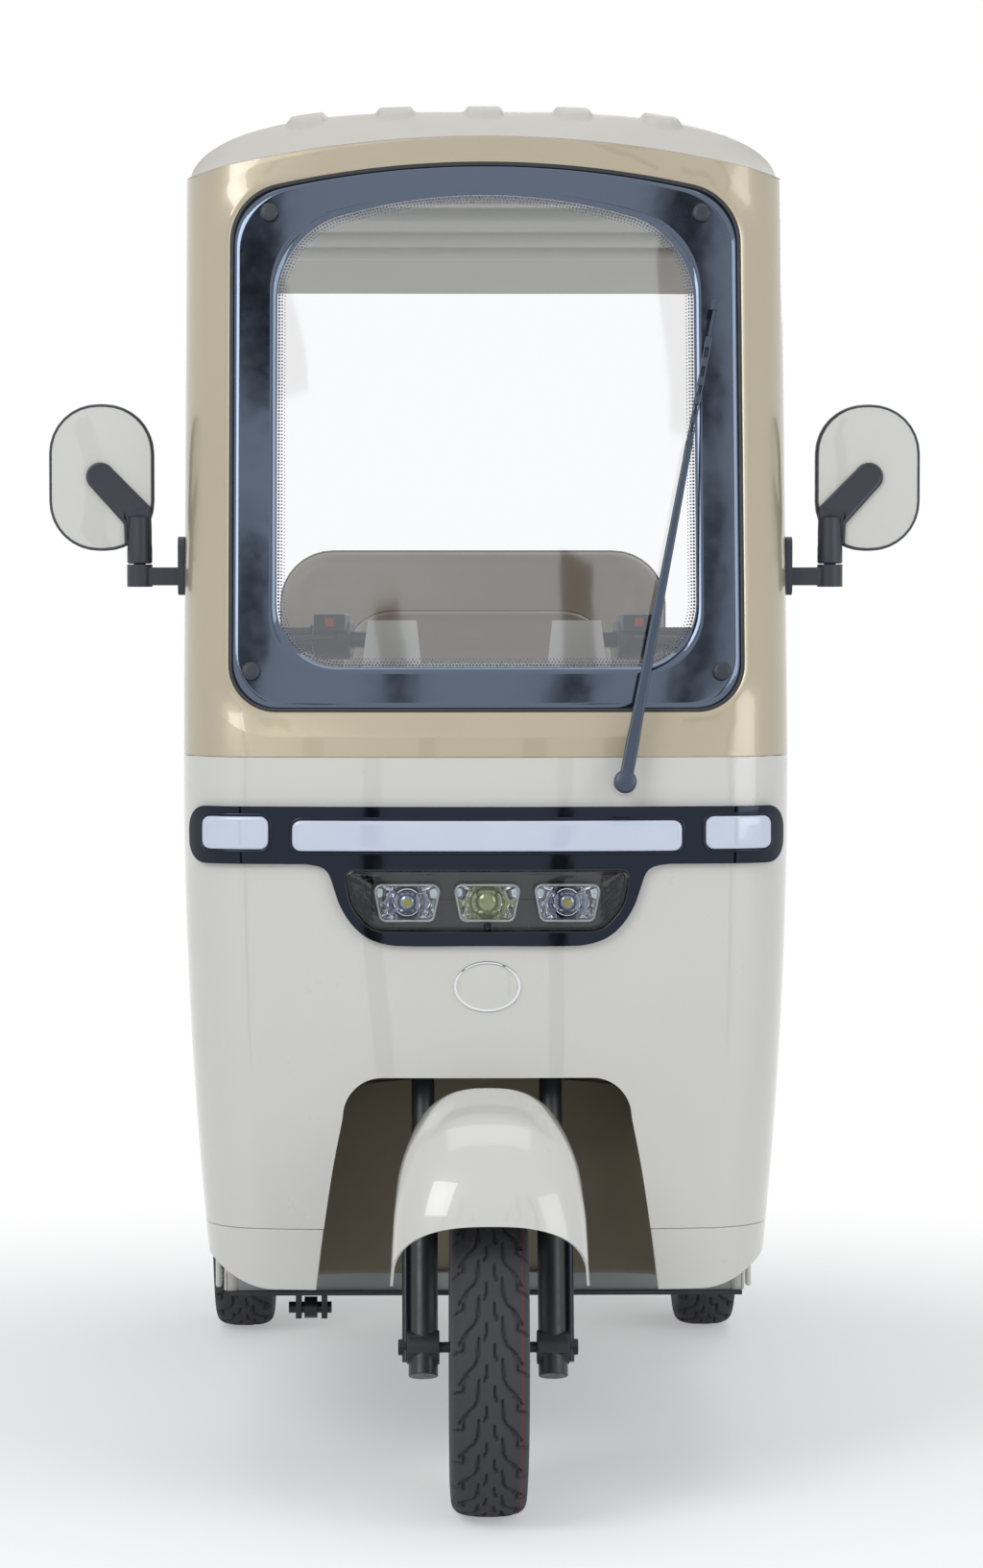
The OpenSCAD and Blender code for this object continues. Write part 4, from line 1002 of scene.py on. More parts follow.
        def inner_point(row: tuple[float, float], k: int) -> Vector:
            """Point k of a row beside the pane."""
            x, z = self.rounded_outline(row[0])[k]
            return Vector((x, self.glass_y(x, z) + row[1], z))

        inner_points = [[inner_point(row, k) for k in range(columns + 1)] for row in rows]

        def on_panel(u: float, v: float) -> Vector:
            """Point from under the pane out to the edge."""
            k = round(u * columns)
            j = round(v * total)
            if j < len(rows):
                return inner_points[j][k]
            start = inner_points[-1][k]
            on_crease = body.point(crease[k][0], crease[k][1])
            s, z = crease[k]
            j -= len(rows) - 1
            step = 0.045
            beyond = body.point(mix(s, edge[k][0], step), mix(z, edge[k][1], step))
            before = start.lerp(on_crease, 0.78)
            if j <= chamfer:
                return start.lerp(before, j / chamfer)
            j -= chamfer
            if j <= round_over:
                t = j / round_over
                return before.lerp(on_crease, t).lerp(on_crease.lerp(beyond, t), t)
            t = mix(step, 1.0, (j - round_over) / face)
            return body.point(mix(s, edge[k][0], t), mix(z, edge[k][1], t))

        panel = mapped_grid(columns, total, on_panel, FORWARD, ring=True)
        add_piece("screen_surround_panel", panel, "chassis", SURROUND, ["screen_surround"],
                  thickness=self.wall, round_edge=1.4 * MM)
        self.build_glass()

    def build_glass(self) -> None:
        """Makes the pane, its black border with dots, and the rubber round it."""
        outline = self.rounded_outline(-0.5 * MM)
        clear = self.clear_outline()
        middle_z = (self.glass_bottom + self.glass_top) / 2
        columns = len(outline) - 1

        def on_glass(u: float, v: float) -> Vector:
            """Point from the middle of the pane outwards."""
            k = round(u * columns)
            x, z = mix(0.0, clear[k][0], v), mix(middle_z, clear[k][1], v)
            return Vector((x, self.glass_y(x, z) + 0.5 * MM, z))

        pane = mapped_grid(columns, 12, on_glass, FORWARD, ring=True)
        add_piece("windscreen_pane", pane, "chassis", GLASS, ["windscreen"])

        def on_border(u: float, v: float) -> Vector:
            """Point of the border, from the window outwards."""
            k = round(u * columns)
            x, z = mix(clear[k][0], outline[k][0], v), mix(clear[k][1], outline[k][1], v)
            return Vector((x, self.glass_y(x, z), z))

        border = mapped_grid(columns, 6, on_border, FORWARD, ring=True)
        for row in range(3):
            self.add_dots(border, row)
        add_piece("windscreen_border", border, "chassis", CERAMIC, thickness=4 * MM)
        rim = self.rounded_outline(0.6 * MM)
        section = 10

        def on_rubber(u: float, v: float) -> Vector:
            """Point of the round rubber."""
            k = round(u * columns)
            x, z = rim[k]
            a = 2 * math.pi * v
            after = rim[(k + 1) % columns]
            out = Vector((rim[k - 1][1] - after[1], 0, after[0] - rim[k - 1][0])).normalized()
            middle = Vector((x, self.glass_y(x, z) + 0.6 * MM + 2.2 * MM * math.sin(a), z))
            return middle + out * 2.6 * MM * math.cos(a)

        rubber = mapped_grid(columns, section, on_rubber, FORWARD, ring=True)
        bmesh.ops.recalc_face_normals(rubber, faces=rubber.faces)
        add_piece("windscreen_rubber", rubber, "chassis", BLACK_PLASTIC)

    def clear_outline(self, shrink: float = 0.0) -> list[Point2]:
        """Outline of the clear window in the printed border."""
        return self.rounded_outline(-shrink, radii=(0.084, 0.118), sides=0.060, bottom=0.056, top=0.041,
                                    arch=0.030)

    def add_dots(self, shape: bmesh.types.BMesh, row: int) -> None:
        """Adds one row of printed dots inside the border."""
        pitch = 4.4 * MM
        outline = self.clear_outline((row + 0.7) * 3.8 * MM)
        length = sum(math.dist(a, b) for a, b in zip(outline, outline[1:]))
        count = round(length / pitch)
        radius = (1.6 - 0.4 * row) * MM
        places = spaced(outline, count)
        for k in range(count):
            t = 0.5 * (row % 2)
            x = mix(places[k][0], places[k + 1][0], t)
            z = mix(places[k][1], places[k + 1][1], t)
            turn = Matrix.Rotation(math.radians(90), 4, "X")
            bmesh.ops.create_circle(shape, cap_ends=True, segments=8, radius=radius,
                                    matrix=Matrix.Translation((x, self.glass_y(x, z) + 0.2 * MM, z)) @ turn)


@dataclass
class Roof:
    """Domed roof moulding with five ribs that run front to back."""

    shape: BodyShape
    edge_z: float = 1.745
    lip_z: float = 1.673
    rise: float = 0.102
    fullness: float = 3.1
    wall: float = 5 * MM
    rib_pitch: float = 0.120
    rib_half_w: float = 0.029
    rib_h: float = 8 * MM
    rib_ends: Point2 = (0.062, 0.845)
    back_y: float = field(init=False)
    length: float = field(init=False)

    def __post_init__(self) -> None:
        """Takes the rear edge and the length from the frame."""
        low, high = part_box("roof")
        self.back_y = high[1]
        self.length = high[1] - low[1]

    def section(self, v: float) -> tuple[float, float]:
        """Edge height and crown at the share v of the roof's length."""
        drop = mix(self.lip_z, self.edge_z, 0.55)
        rows = [[0.0, self.edge_z, 0.051], [0.03, self.edge_z, 0.70 * self.rise],
                [0.07, self.edge_z, 0.88 * self.rise], [0.12, self.edge_z, 0.96 * self.rise],
                [0.4, self.edge_z, self.rise - 1 * MM], [0.78, self.edge_z, 0.98 * self.rise],
                [0.88, self.edge_z - 0.008, 0.8 * self.rise], [0.95, drop, 0.42 * self.rise],
                [1.0, self.lip_z, 0.002]]
        edge, rise = interpolated(rows, v)
        return edge, rise

    def point(self, x: float, v: float) -> Vector:
        """Point on the roof at x and at the share v of its length, with the ribs."""
        half = self.shape.half_width - 1 * MM
        a = min(1.0, abs(x) / half)
        blend = min(1.0, v / 0.06)
        power, root = mix(2.0, self.fullness, blend), mix(1.0, 0.5, blend)
        seam_z = self.edge_z + 0.051 * (1 - a * a)
        front = self.shape.point(self.shape.s_of_x(x, seam_z), seam_z).y
        back = self.back_y - 0.025 * a * a
        edge, rise = self.section(v)
        z = edge + rise * (1 - a**power) ** root
        y = mix(front, back, v)
        return Vector((x, y, z + self.rib_h * self.rib(x, v)))

    def rib(self, x: float, v: float) -> float:
        """Share of a rib's height at x and v: 1 on its top, 0 beside it."""
        k = min(2, max(-2, round(x / self.rib_pitch)))
        across = abs(x - k * self.rib_pitch)
        start, end = self.rib_ends
        ahead = max(0.0, (start - v) * self.length, (v - end) * self.length)
        reach = math.hypot(across, ahead)
        return 1 - smooth((reach - self.rib_half_w + 0.009) / 0.009)

    def build(self) -> None:
        """Makes the roof."""
        half = self.shape.half_width - 1 * MM
        crest = 2 * self.rib_pitch + self.rib_half_w
        stops: list[float] = []
        for k in range(3):
            middle = k * self.rib_pitch
            inner, outer = self.rib_half_w - 0.009, self.rib_half_w
            stops += [middle + mix(inner, outer, j / 4) for j in range(5)]
            stops += [middle - mix(inner, outer, j / 4) for j in range(5) if k]
            stops += [middle + 0.010 * j for j in (1, -1) if k or j == 1]
        stops += [0.0] + [half * math.sin(math.radians(a)) for a in range(44, 91, 2) if
                          half * math.sin(math.radians(a)) > crest + 0.004]
        stops += [half * math.sin(math.radians(a)) for a in range(3, 40, 3)]
        across = sorted({round(x, 4) for x in stops} | {-round(x, 4) for x in stops})
        along = sorted({round(v, 5) for v in
                        [0.0, 0.003, 0.008, 0.015, 0.022] + [0.03 + 0.0016 * k for k in range(30)]
                        + [0.08 + 0.02 * k for k in range(37)] + [0.826 + 0.0025 * k for k in range(20)]
                        + [0.88 + 0.01 * k for k in range(13)]})

        def on_roof(u: float, v: float) -> Vector:
            """Point at one of the stops across and along."""
            return self.point(across[round(u * (len(across) - 1))], along[round(v * (len(along) - 1))])

        shell = mapped_grid(len(across) - 1, len(along) - 1, on_roof, UP)
        add_piece("roof_moulding", shell, "chassis", ROOF, ["roof"], thickness=self.wall,
                  round_edge=1.2 * MM)


@dataclass
class LampPanel:
    """Gloss black lamp panel with its light bar, and the headlamp recess with three lamps."""

    shape: BodyShape
    out: float = 9 * MM
    seat: float = 0.7 * MM
    bar: Point2 = (0.838, 0.913)
    end: float = 0.398
    end_r: float = 0.030
    pod: tuple = ((0.0, 0.732), (0.115, 0.732), (0.140, 0.736), (0.160, 0.745), (0.178, 0.762),
                  (0.192, 0.785), (0.200, 0.808), (0.206, 0.825), (0.216, 0.834), (0.236, 0.838))
    lenses: tuple = ((-0.254, 0.254, 0.855, 0.895), (0.285, 0.372, 0.857, 0.900),
                     (-0.372, -0.285, 0.857, 0.900))
    recess_z: float = 0.790
    recess_half: float = 0.13
    lamp_pitch: float = 0.1045
    lamp_z: float = 0.787
    # Half width and height of a lamp's lower and upper edge
    lamp_low: Point2 = (0.034, 0.764)
    lamp_high: Point2 = (0.0435, 0.811)

    def surface(self, s: float, z: float, out: float) -> Vector:
        """Point that stands out from the body."""
        return self.shape.point(s, z, -out)

    def edges(self, s: float) -> Point2:
        """Lower and upper edge of the panel at arc length s."""
        a = abs(s)
        low = self.bar[0] if a >= self.pod[-1][0] else interpolated(self.pod, a)[0]
        beyond = max(0.0, a - self.end + self.end_r)
        cut = self.end_r - math.sqrt(max(0.0, self.end_r**2 - beyond**2))
        return low + cut, self.bar[1] - cut

    def build(self) -> None:
        """Makes the panel, lenses and lamps."""
        stops = sorted({round(-self.end + 2 * self.end * k / 300, 5) for k in range(301)}
                       | {round(side * (self.end - self.end_r * (1 - math.sin(math.pi / 2 * k / 12))), 5)
                          for k in range(13) for side in (-1, 1)})

        def on_panel(u: float, v: float) -> Vector:
            """Point between the lower and the upper edge."""
            s = stops[round(u * (len(stops) - 1))]
            low, high = self.edges(s)
            return self.surface(s, mix(low, high, v), self.out)

        panel = mapped_grid(len(stops) - 1, 36, on_panel, FORWARD)
        piece = add_piece("lamp_panel_moulding", panel, "chassis", BLACK_GLOSS,
                          ["lamp_panel"], thickness=self.out - self.seat, round_edge=2.2 * MM)
        recess = lamp_recess()
        carved(piece, tunnel(recess, 0.0, self.shape.face_y))
        self.build_bar()
        self.build_recess(recess)
        bar_lens = [self.dome(outline, 9.4 * MM, 3.2 * MM) for outline in self.lens_outlines()]
        add_piece("light_bar_lenses", joined(*bar_lens), "chassis", DIFFUSER,
                  ["position_lamps"])

    def lens_outlines(self) -> list[list[Point2]]:
        """Outlines of the three lenses of the bar."""
        return [box_outline(s0, z0, s1, z1, 0.011, 240 if s1 - s0 > 0.3 else 96)
                for s0, s1, z0, z1 in self.lenses]

    def dome(self, outline: list[Point2], out: float, crown: float) -> bmesh.types.BMesh:
        """Crowned lens that fills an outline on the panel."""
        rows = ((0.0, -3 * MM), (0.0, 0.2 * MM), (-0.6 * MM, 0.55 * crown), (-1.6 * MM, 0.8 * crown),
                (-3.2 * MM, 0.95 * crown), (-6 * MM, crown))
        rings = [[self.surface(s, z, out + rise) for s, z in grown(outline, grow)] for grow, rise in rows]
        inner = grown(outline, -6 * MM)
        z_mid = (min(z for _, z in outline) + max(z for _, z in outline)) / 2
        for t in (0.4, 0.75, 1.0):
            rings.append([self.surface(s, mix(z, z_mid, t), out + crown) for s, z in inner])
        return from_rings(rings, FORWARD)

    def build_bar(self) -> None:
        """Makes the dark chrome frames round the lenses."""
        frames = []
        for outline in self.lens_outlines():
            rings = []
            for k in range(9):
                a = math.pi * k / 8
                rings.append([self.surface(s, z, 8.6 * MM + 2.2 * MM * math.sin(a))
                              for s, z in grown(outline, 2.4 * MM - 2.2 * MM * math.cos(a))])
            frames.append(from_rings(rings, FORWARD))
        add_piece("light_bar_frames", joined(*frames), "chassis", DARK_CHROME)

    def front_at(self, x: float, z: float, behind: float) -> Vector:
        """Point a distance behind the curved face of the recess."""
        front = self.shape.face_y + self.shape.lean_y(self.lamp_z)
        return Vector((x, front + behind + x * x / (2 * self.shape.front_radius), z))

    def drawn_in(self, x: float, z: float, t: float) -> Point2:
        """Place that lies the share t of the way to the middle line of the recess."""
        return mix(x, max(-self.recess_half, min(self.recess_half, x)), t), mix(z, self.recess_z, t)

    def build_recess(self, recess: list[Point2]) -> None:
        """Makes the bowl with its ribs, the clear cover and the boss, and then the lamps."""
        rows = ((0.2, -7.5), (-1.0, -6.5), (-1.6, -2.0), (-3.0, 20.0), (-5.0, 24.0))
        rings = [[self.front_at(x, z, y * MM) for x, z in grown(recess, grow * MM)] for grow, y in rows]
        inner = grown(recess, rows[-1][0] * MM)
        steps = 30
        for k in range(1, steps + 1):
            ring = []
            for x, z in inner:
                px, pz = self.drawn_in(x, z, k / steps)
                ring.append(self.front_at(px, pz, rows[-1][1] * MM - self.rib(px, pz)))
            rings.append(ring)
        add_piece("headlamp_bowl", from_rings(rings, FORWARD), "chassis", LAMP_BOWL,
                  thickness=1.5 * MM)
        rows = ((-1.2, 4.0), (-1.4, 0.0), (-3.0, -1.0), (-9.0, -1.6))
        cover = [[self.front_at(x, z, (y - 5.5) * MM) for x, z in grown(recess, grow * MM)]
                 for grow, y in rows]
        edge = grown(recess, rows[-1][0] * MM)
        cover += [[self.front_at(*self.drawn_in(x, z, k / 6), -7.3 * MM) for x, z in edge]
                  for k in range(1, 7)]
        add_piece("headlamp_cover", from_rings(cover, FORWARD), "chassis", LAMP_COVER)
        self.build_lamps()
        boss = spun([(0.0, 5.6 * MM), (2.0 * MM, 5.4 * MM), (3.0 * MM, 4.2 * MM), (2.2 * MM, 3.4 * MM),
                     (2.4 * MM, 0.0)], self.front_at(0.0, 0.7575, -6.6 * MM), FORWARD, 32)
        add_piece("headlamp_boss", boss, "chassis", DARK_CHROME)

    @staticmethod
    def rib(x: float, z: float) -> float:
        """Height of the fine arched ribs at the ends of the bowl."""
        if abs(x) <= 0.150:
            return 0.0
        reach = math.hypot(abs(x) - 0.100, z - 0.800)
        return 0.9 * MM * (1 - math.cos(2 * math.pi * reach / (3.6 * MM)))

    def build_lamps(self) -> None:
        """Makes the rim, reflector and eye of each lamp, and the light source of the two side lamps."""
        front = self.front_at(0.0, 0.0, 0.0).y
        rims, cups, eyes, chips = [], [], [], []
        for k in (-1, 0, 1):
            x0 = k * self.lamp_pitch
            corners = [(x0 + side * half, z, r) for side, (half, z), r in
                       ((-1, self.lamp_low, 0.008), (1, self.lamp_low, 0.008),
                        (1, self.lamp_high, 0.009), (-1, self.lamp_high, 0.009))]
            outline = rounded(corners, 96)
            rings = []
            for j in range(13):
                a = 2 * math.pi * j / 12
                rings.append([Vector((x, front + 0.5 * MM - 3.0 * MM * math.sin(a), z))
                              for x, z in grown(outline, 1.7 * MM * math.cos(a))])
            rims.append(from_rings(rings))
            cups.append(self.cup(outline, x0, front))
            centre = Vector((x0, front + 19 * MM, self.lamp_z))
            radius = 20 * MM if k == 0 else 17 * MM
            dome = [(0.0, radius), (3 * MM, radius), (7 * MM, 0.86 * radius), (10 * MM, 0.62 * radius),
                    (12 * MM, 0.32 * radius), (12.6 * MM, 0.0)]
            eyes.append(spun(dome, centre, FORWARD, 48))
            if k:
                low, high = Vector((-5 * MM, -14.4 * MM, -4 * MM)), Vector((5 * MM, -12.4 * MM, 5 * MM))
                chips.append(box_shape(centre + low, centre + high))
        for group, finish, name in ((rims, SATIN_RIM, "headlamp_rims"), (cups, CHROME, "headlamp_reflectors"),
                                    ([eyes[0], eyes[2]], LAMP_BLUE, "headlamp_side_eyes"),
                                    ([eyes[1]], LAMP_GREEN, "headlamp_main_eye"),
                                    (chips, LAMP_YELLOW, "headlamp_chips")):
            replaced = ["headlamps"] if name == "headlamp_reflectors" else ()
            add_piece(name, joined(*group), "chassis", finish, replaced,
                      round_edge=0.5 * MM if group is chips else 0.0)

    def cup(self, outline: list[Point2], x0: float, front: float) -> bmesh.types.BMesh:
        """Faceted reflector behind one lamp's rim."""
        rings = []
        rows = ((0.0, 0.0), (0.06, 5.0), (0.3, 9.0), (0.6, 14.0), (0.85, 19.0), (1.0, 21.0), (1.2, 21.0))
        for t, depth in rows:
            ring = []
            for x, z in grown(outline, -1.0 * MM):
                a = math.atan2(z - self.lamp_z, x - x0)
                facet = 1.2 * math.cos(10 * a) * min(1.0, 4 * t * max(0.0, 1 - t))
                inner = 18 * MM if t <= 1 else 1 * MM
                blend = min(1.0, t)
                ring.append(Vector((mix(x, x0 + inner * math.cos(a), blend), front + (depth + facet) * MM,
                                    mix(z, self.lamp_z + inner * math.sin(a), blend))))
            rings.append(ring)
        return from_rings(rings, FORWARD)


@dataclass
class BlankBadge:
    """Plain oval plate with a bright edge; it carries nothing."""

    shape: BodyShape
    centre_z: float = 0.6786
    half: Point2 = (0.044, 0.033)

    def build(self) -> None:
        """Makes the edge and the plate."""
        oval = [(self.half[0] * math.cos(2 * math.pi * k / 96), self.centre_z
                 + self.half[1] * math.sin(2 * math.pi * k / 96)) for k in range(97)]

        def ring(grow: float, out: float) -> list[Vector]:
            """Oval that stands off the fairing."""
            return [self.shape.point(x, z, -out) for x, z in grown(oval, grow)]

        edge = [ring(grow * MM, out * MM) for grow, out in
                ((0.0, -0.5), (0.0, 2.0), (-0.8, 3.0), (-2.6, 3.2), (-3.6, 2.4), (-3.8, 0.8))]
        add_piece("badge_edge", from_rings(edge, FORWARD), "chassis", CHROME)
        plate = [ring(-3.6 * MM, 1.2 * MM), ring(-12 * MM, 1.8 * MM)]
        plate += [[self.shape.point(mix(x, 0, t), mix(z, self.centre_z, t), -2.0 * MM)
                   for x, z in grown(oval, -12 * MM)] for t in (0.4, 0.8, 1.0)]
        add_piece("badge_plate", from_rings(plate, FORWARD), "chassis", FAIRING)


@dataclass
class ArchLiner:
    """Grained liner that wraps the wheel arch."""

    shape: BodyShape
    fairing: FrontFairing
    depth: float = 0.262
    top_z: float = 0.530
    foot_z: float = 0.288
    floor_z: float = 0.265

    def build(self) -> None:
        """Makes the liner with rolled edges."""
        count = 96
        face_y = self.shape.face_y

        def wall(z: float, off: float) -> list[Vector]:
            """Row of the liner at one height."""
            w = self.fairing.arch_w(z) - off + 3 * MM
            r = 0.82 * w
            start = self.shape.point(self.fairing.arch_w(z) + 3 * MM, z, 5 * MM).y + 1 * MM
            back = self.shape.face_y + self.depth - off
            flat = [(-w, start), (-w, start + 0.06), (-w, back - r)]
            bow = [math.pi * k / 40 for k in range(1, 40)]
            flat += [(-w * math.cos(a), back - r + r * math.sin(a)) for a in bow]
            flat += [(w, back - r), (w, start + 0.06), (w, start)]
            share = max(0.0, 1 - (z - self.foot_z) / 0.06)
            fall = self.foot_z - self.floor_z
            return [Vector((x, y, z - share * fall * min(1.0, max(0.0, (y - face_y - 0.06) / 0.175))))
                    for x, y in spaced(flat, count)]

        heights = [(self.foot_z, -6 * MM), (self.foot_z, -2 * MM), (self.foot_z + 3 * MM, 0.0)]
        heights += [(mix(self.foot_z + 6 * MM, self.top_z - 6 * MM, k / 16), 0.0) for k in range(17)]
        heights += [(self.top_z - 2 * MM, 0.0), (self.top_z, -3 * MM), (self.top_z, -9 * MM)]
        rows = [wall(z, off) for z, off in heights]
        last = len(rows) - 1
        liner = mapped_grid(count, last, lambda u, v: rows[round(v * last)][round(u * count)], FORWARD)
        add_piece("arch_liner_moulding", liner, "chassis", LINER, ["arch_liner"],
                  thickness=2.5 * MM)


@dataclass
class Tyre:
    """Ribbed road tyre with stepped grooves, cut into a spun carcass."""

    node: str
    body: str
    columns: int
    stripe: bool = False
    radius: float = 0.217
    rim: float = 0.130
    depth: float = 4.5 * MM
    pitch: float = 0.0525
    crown_deg: float = 74.0
    crown_drop: float = 0.026
    stripe_x: Point2 = (0.0388, 0.0412)
    # Each groove of one pitch, as distance from the middle and arc round the tread
    grooves: tuple = (((0.0470, -0.002), (0.0400, 0.004), (0.0330, 0.006), (0.0330, 0.022), (0.0290, 0.027)),
                      ((0.0390, 0.014), (0.0300, 0.030), (0.0200, 0.040), (0.0160, 0.050), (0.0150, 0.074)),
                      ((0.0080, 0.020), (0.0050, 0.028), (0.0050, 0.040)))
    # Each row of a side wall: share of the half width, and height off the tread or off the rim
    shoulder: tuple = ((0.985, 0.029), (1.0, 0.040), (0.985, 0.052), (0.93, 0.064), (0.86, 0.074))
    bead: tuple = ((0.80, 0.009), (0.74, 0.002), (0.64, 0.0))

    def groove(self, arc: float, x: float) -> float:
        """Share of the groove depth at a place on the tread."""
        here = Vector((abs(x), (arc + (0.0 if x > 0 else 0.5 * self.pitch)) % self.pitch))
        best = 1.0
        for path in self.grooves:
            for shift in (-self.pitch, 0.0, self.pitch):
                for (x0, a0), (x1, a1) in zip(path, path[1:]):
                    start = Vector((x0, a0 + shift))
                    ahead = Vector((x1, a1 + shift)) - start
                    t = max(0.0, min(1.0, (here - start).dot(ahead) / ahead.length_squared))
                    best = min(best, (start + ahead * t - here).length)
        return 1 - smooth((best - 1.3 * MM) / (1.0 * MM))

    def build(self) -> None:
        """Makes the tyre."""
        low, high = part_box(self.node)
        centre = (Vector(low) + Vector(high)) / 2
        half = (high[0] - low[0]) / 2
        section: list[Point2] = []
        crown = math.radians(self.crown_deg)
        for k in range(-26, 27):
            x = half * math.sin(k / 26 * crown) / math.sin(crown)
            round_off = 1 - math.sqrt(max(0.0, 1 - (0.97 * abs(k / 26)) ** 2.4))
            section.append((x * 0.97, self.radius - self.crown_drop * round_off))
        wall = [(half * share, self.radius - drop) for share, drop in self.shoulder]
        wall += [(half * share, self.rim + rise) for share, rise in self.bead]
        section = [(-x, r) for x, r in reversed(wall)] + section + wall
        count = len(section) - 1
        length = round(2 * math.pi * self.radius / self.pitch) * self.pitch
        tread_edge, tread_low = half * self.shoulder[0][0], self.radius - 0.028

        def on_tyre(u: float, v: float) -> Vector:
            """Point of the carcass, sunk in a groove."""
            k = round(u * self.columns)
            x, r = section[round(v * count)]
            if abs(x) < tread_edge and r > tread_low:
                r -= self.depth * self.groove(length * k / self.columns, x)
            a = 2 * math.pi * k / self.columns
            return centre + Vector((x, -r * math.cos(a), r * math.sin(a)))

        shape = mapped_grid(self.columns, count, on_tyre, RIGHT, ring=True)
        bmesh.ops.recalc_face_normals(shape, faces=shape.faces)
        if self.stripe:
            for face in shape.faces:
                place = face.calc_center_median() - centre
                reach = math.hypot(place.y, place.z)
                if self.stripe_x[0] < place.x < self.stripe_x[1] and reach > self.radius - 0.022:
                    face.material_index = 1
        add_piece(f"{self.node}_tread", shape, self.body, [TYRE, RED_LINE], [self.node],
                  sharp_deg=60.0)


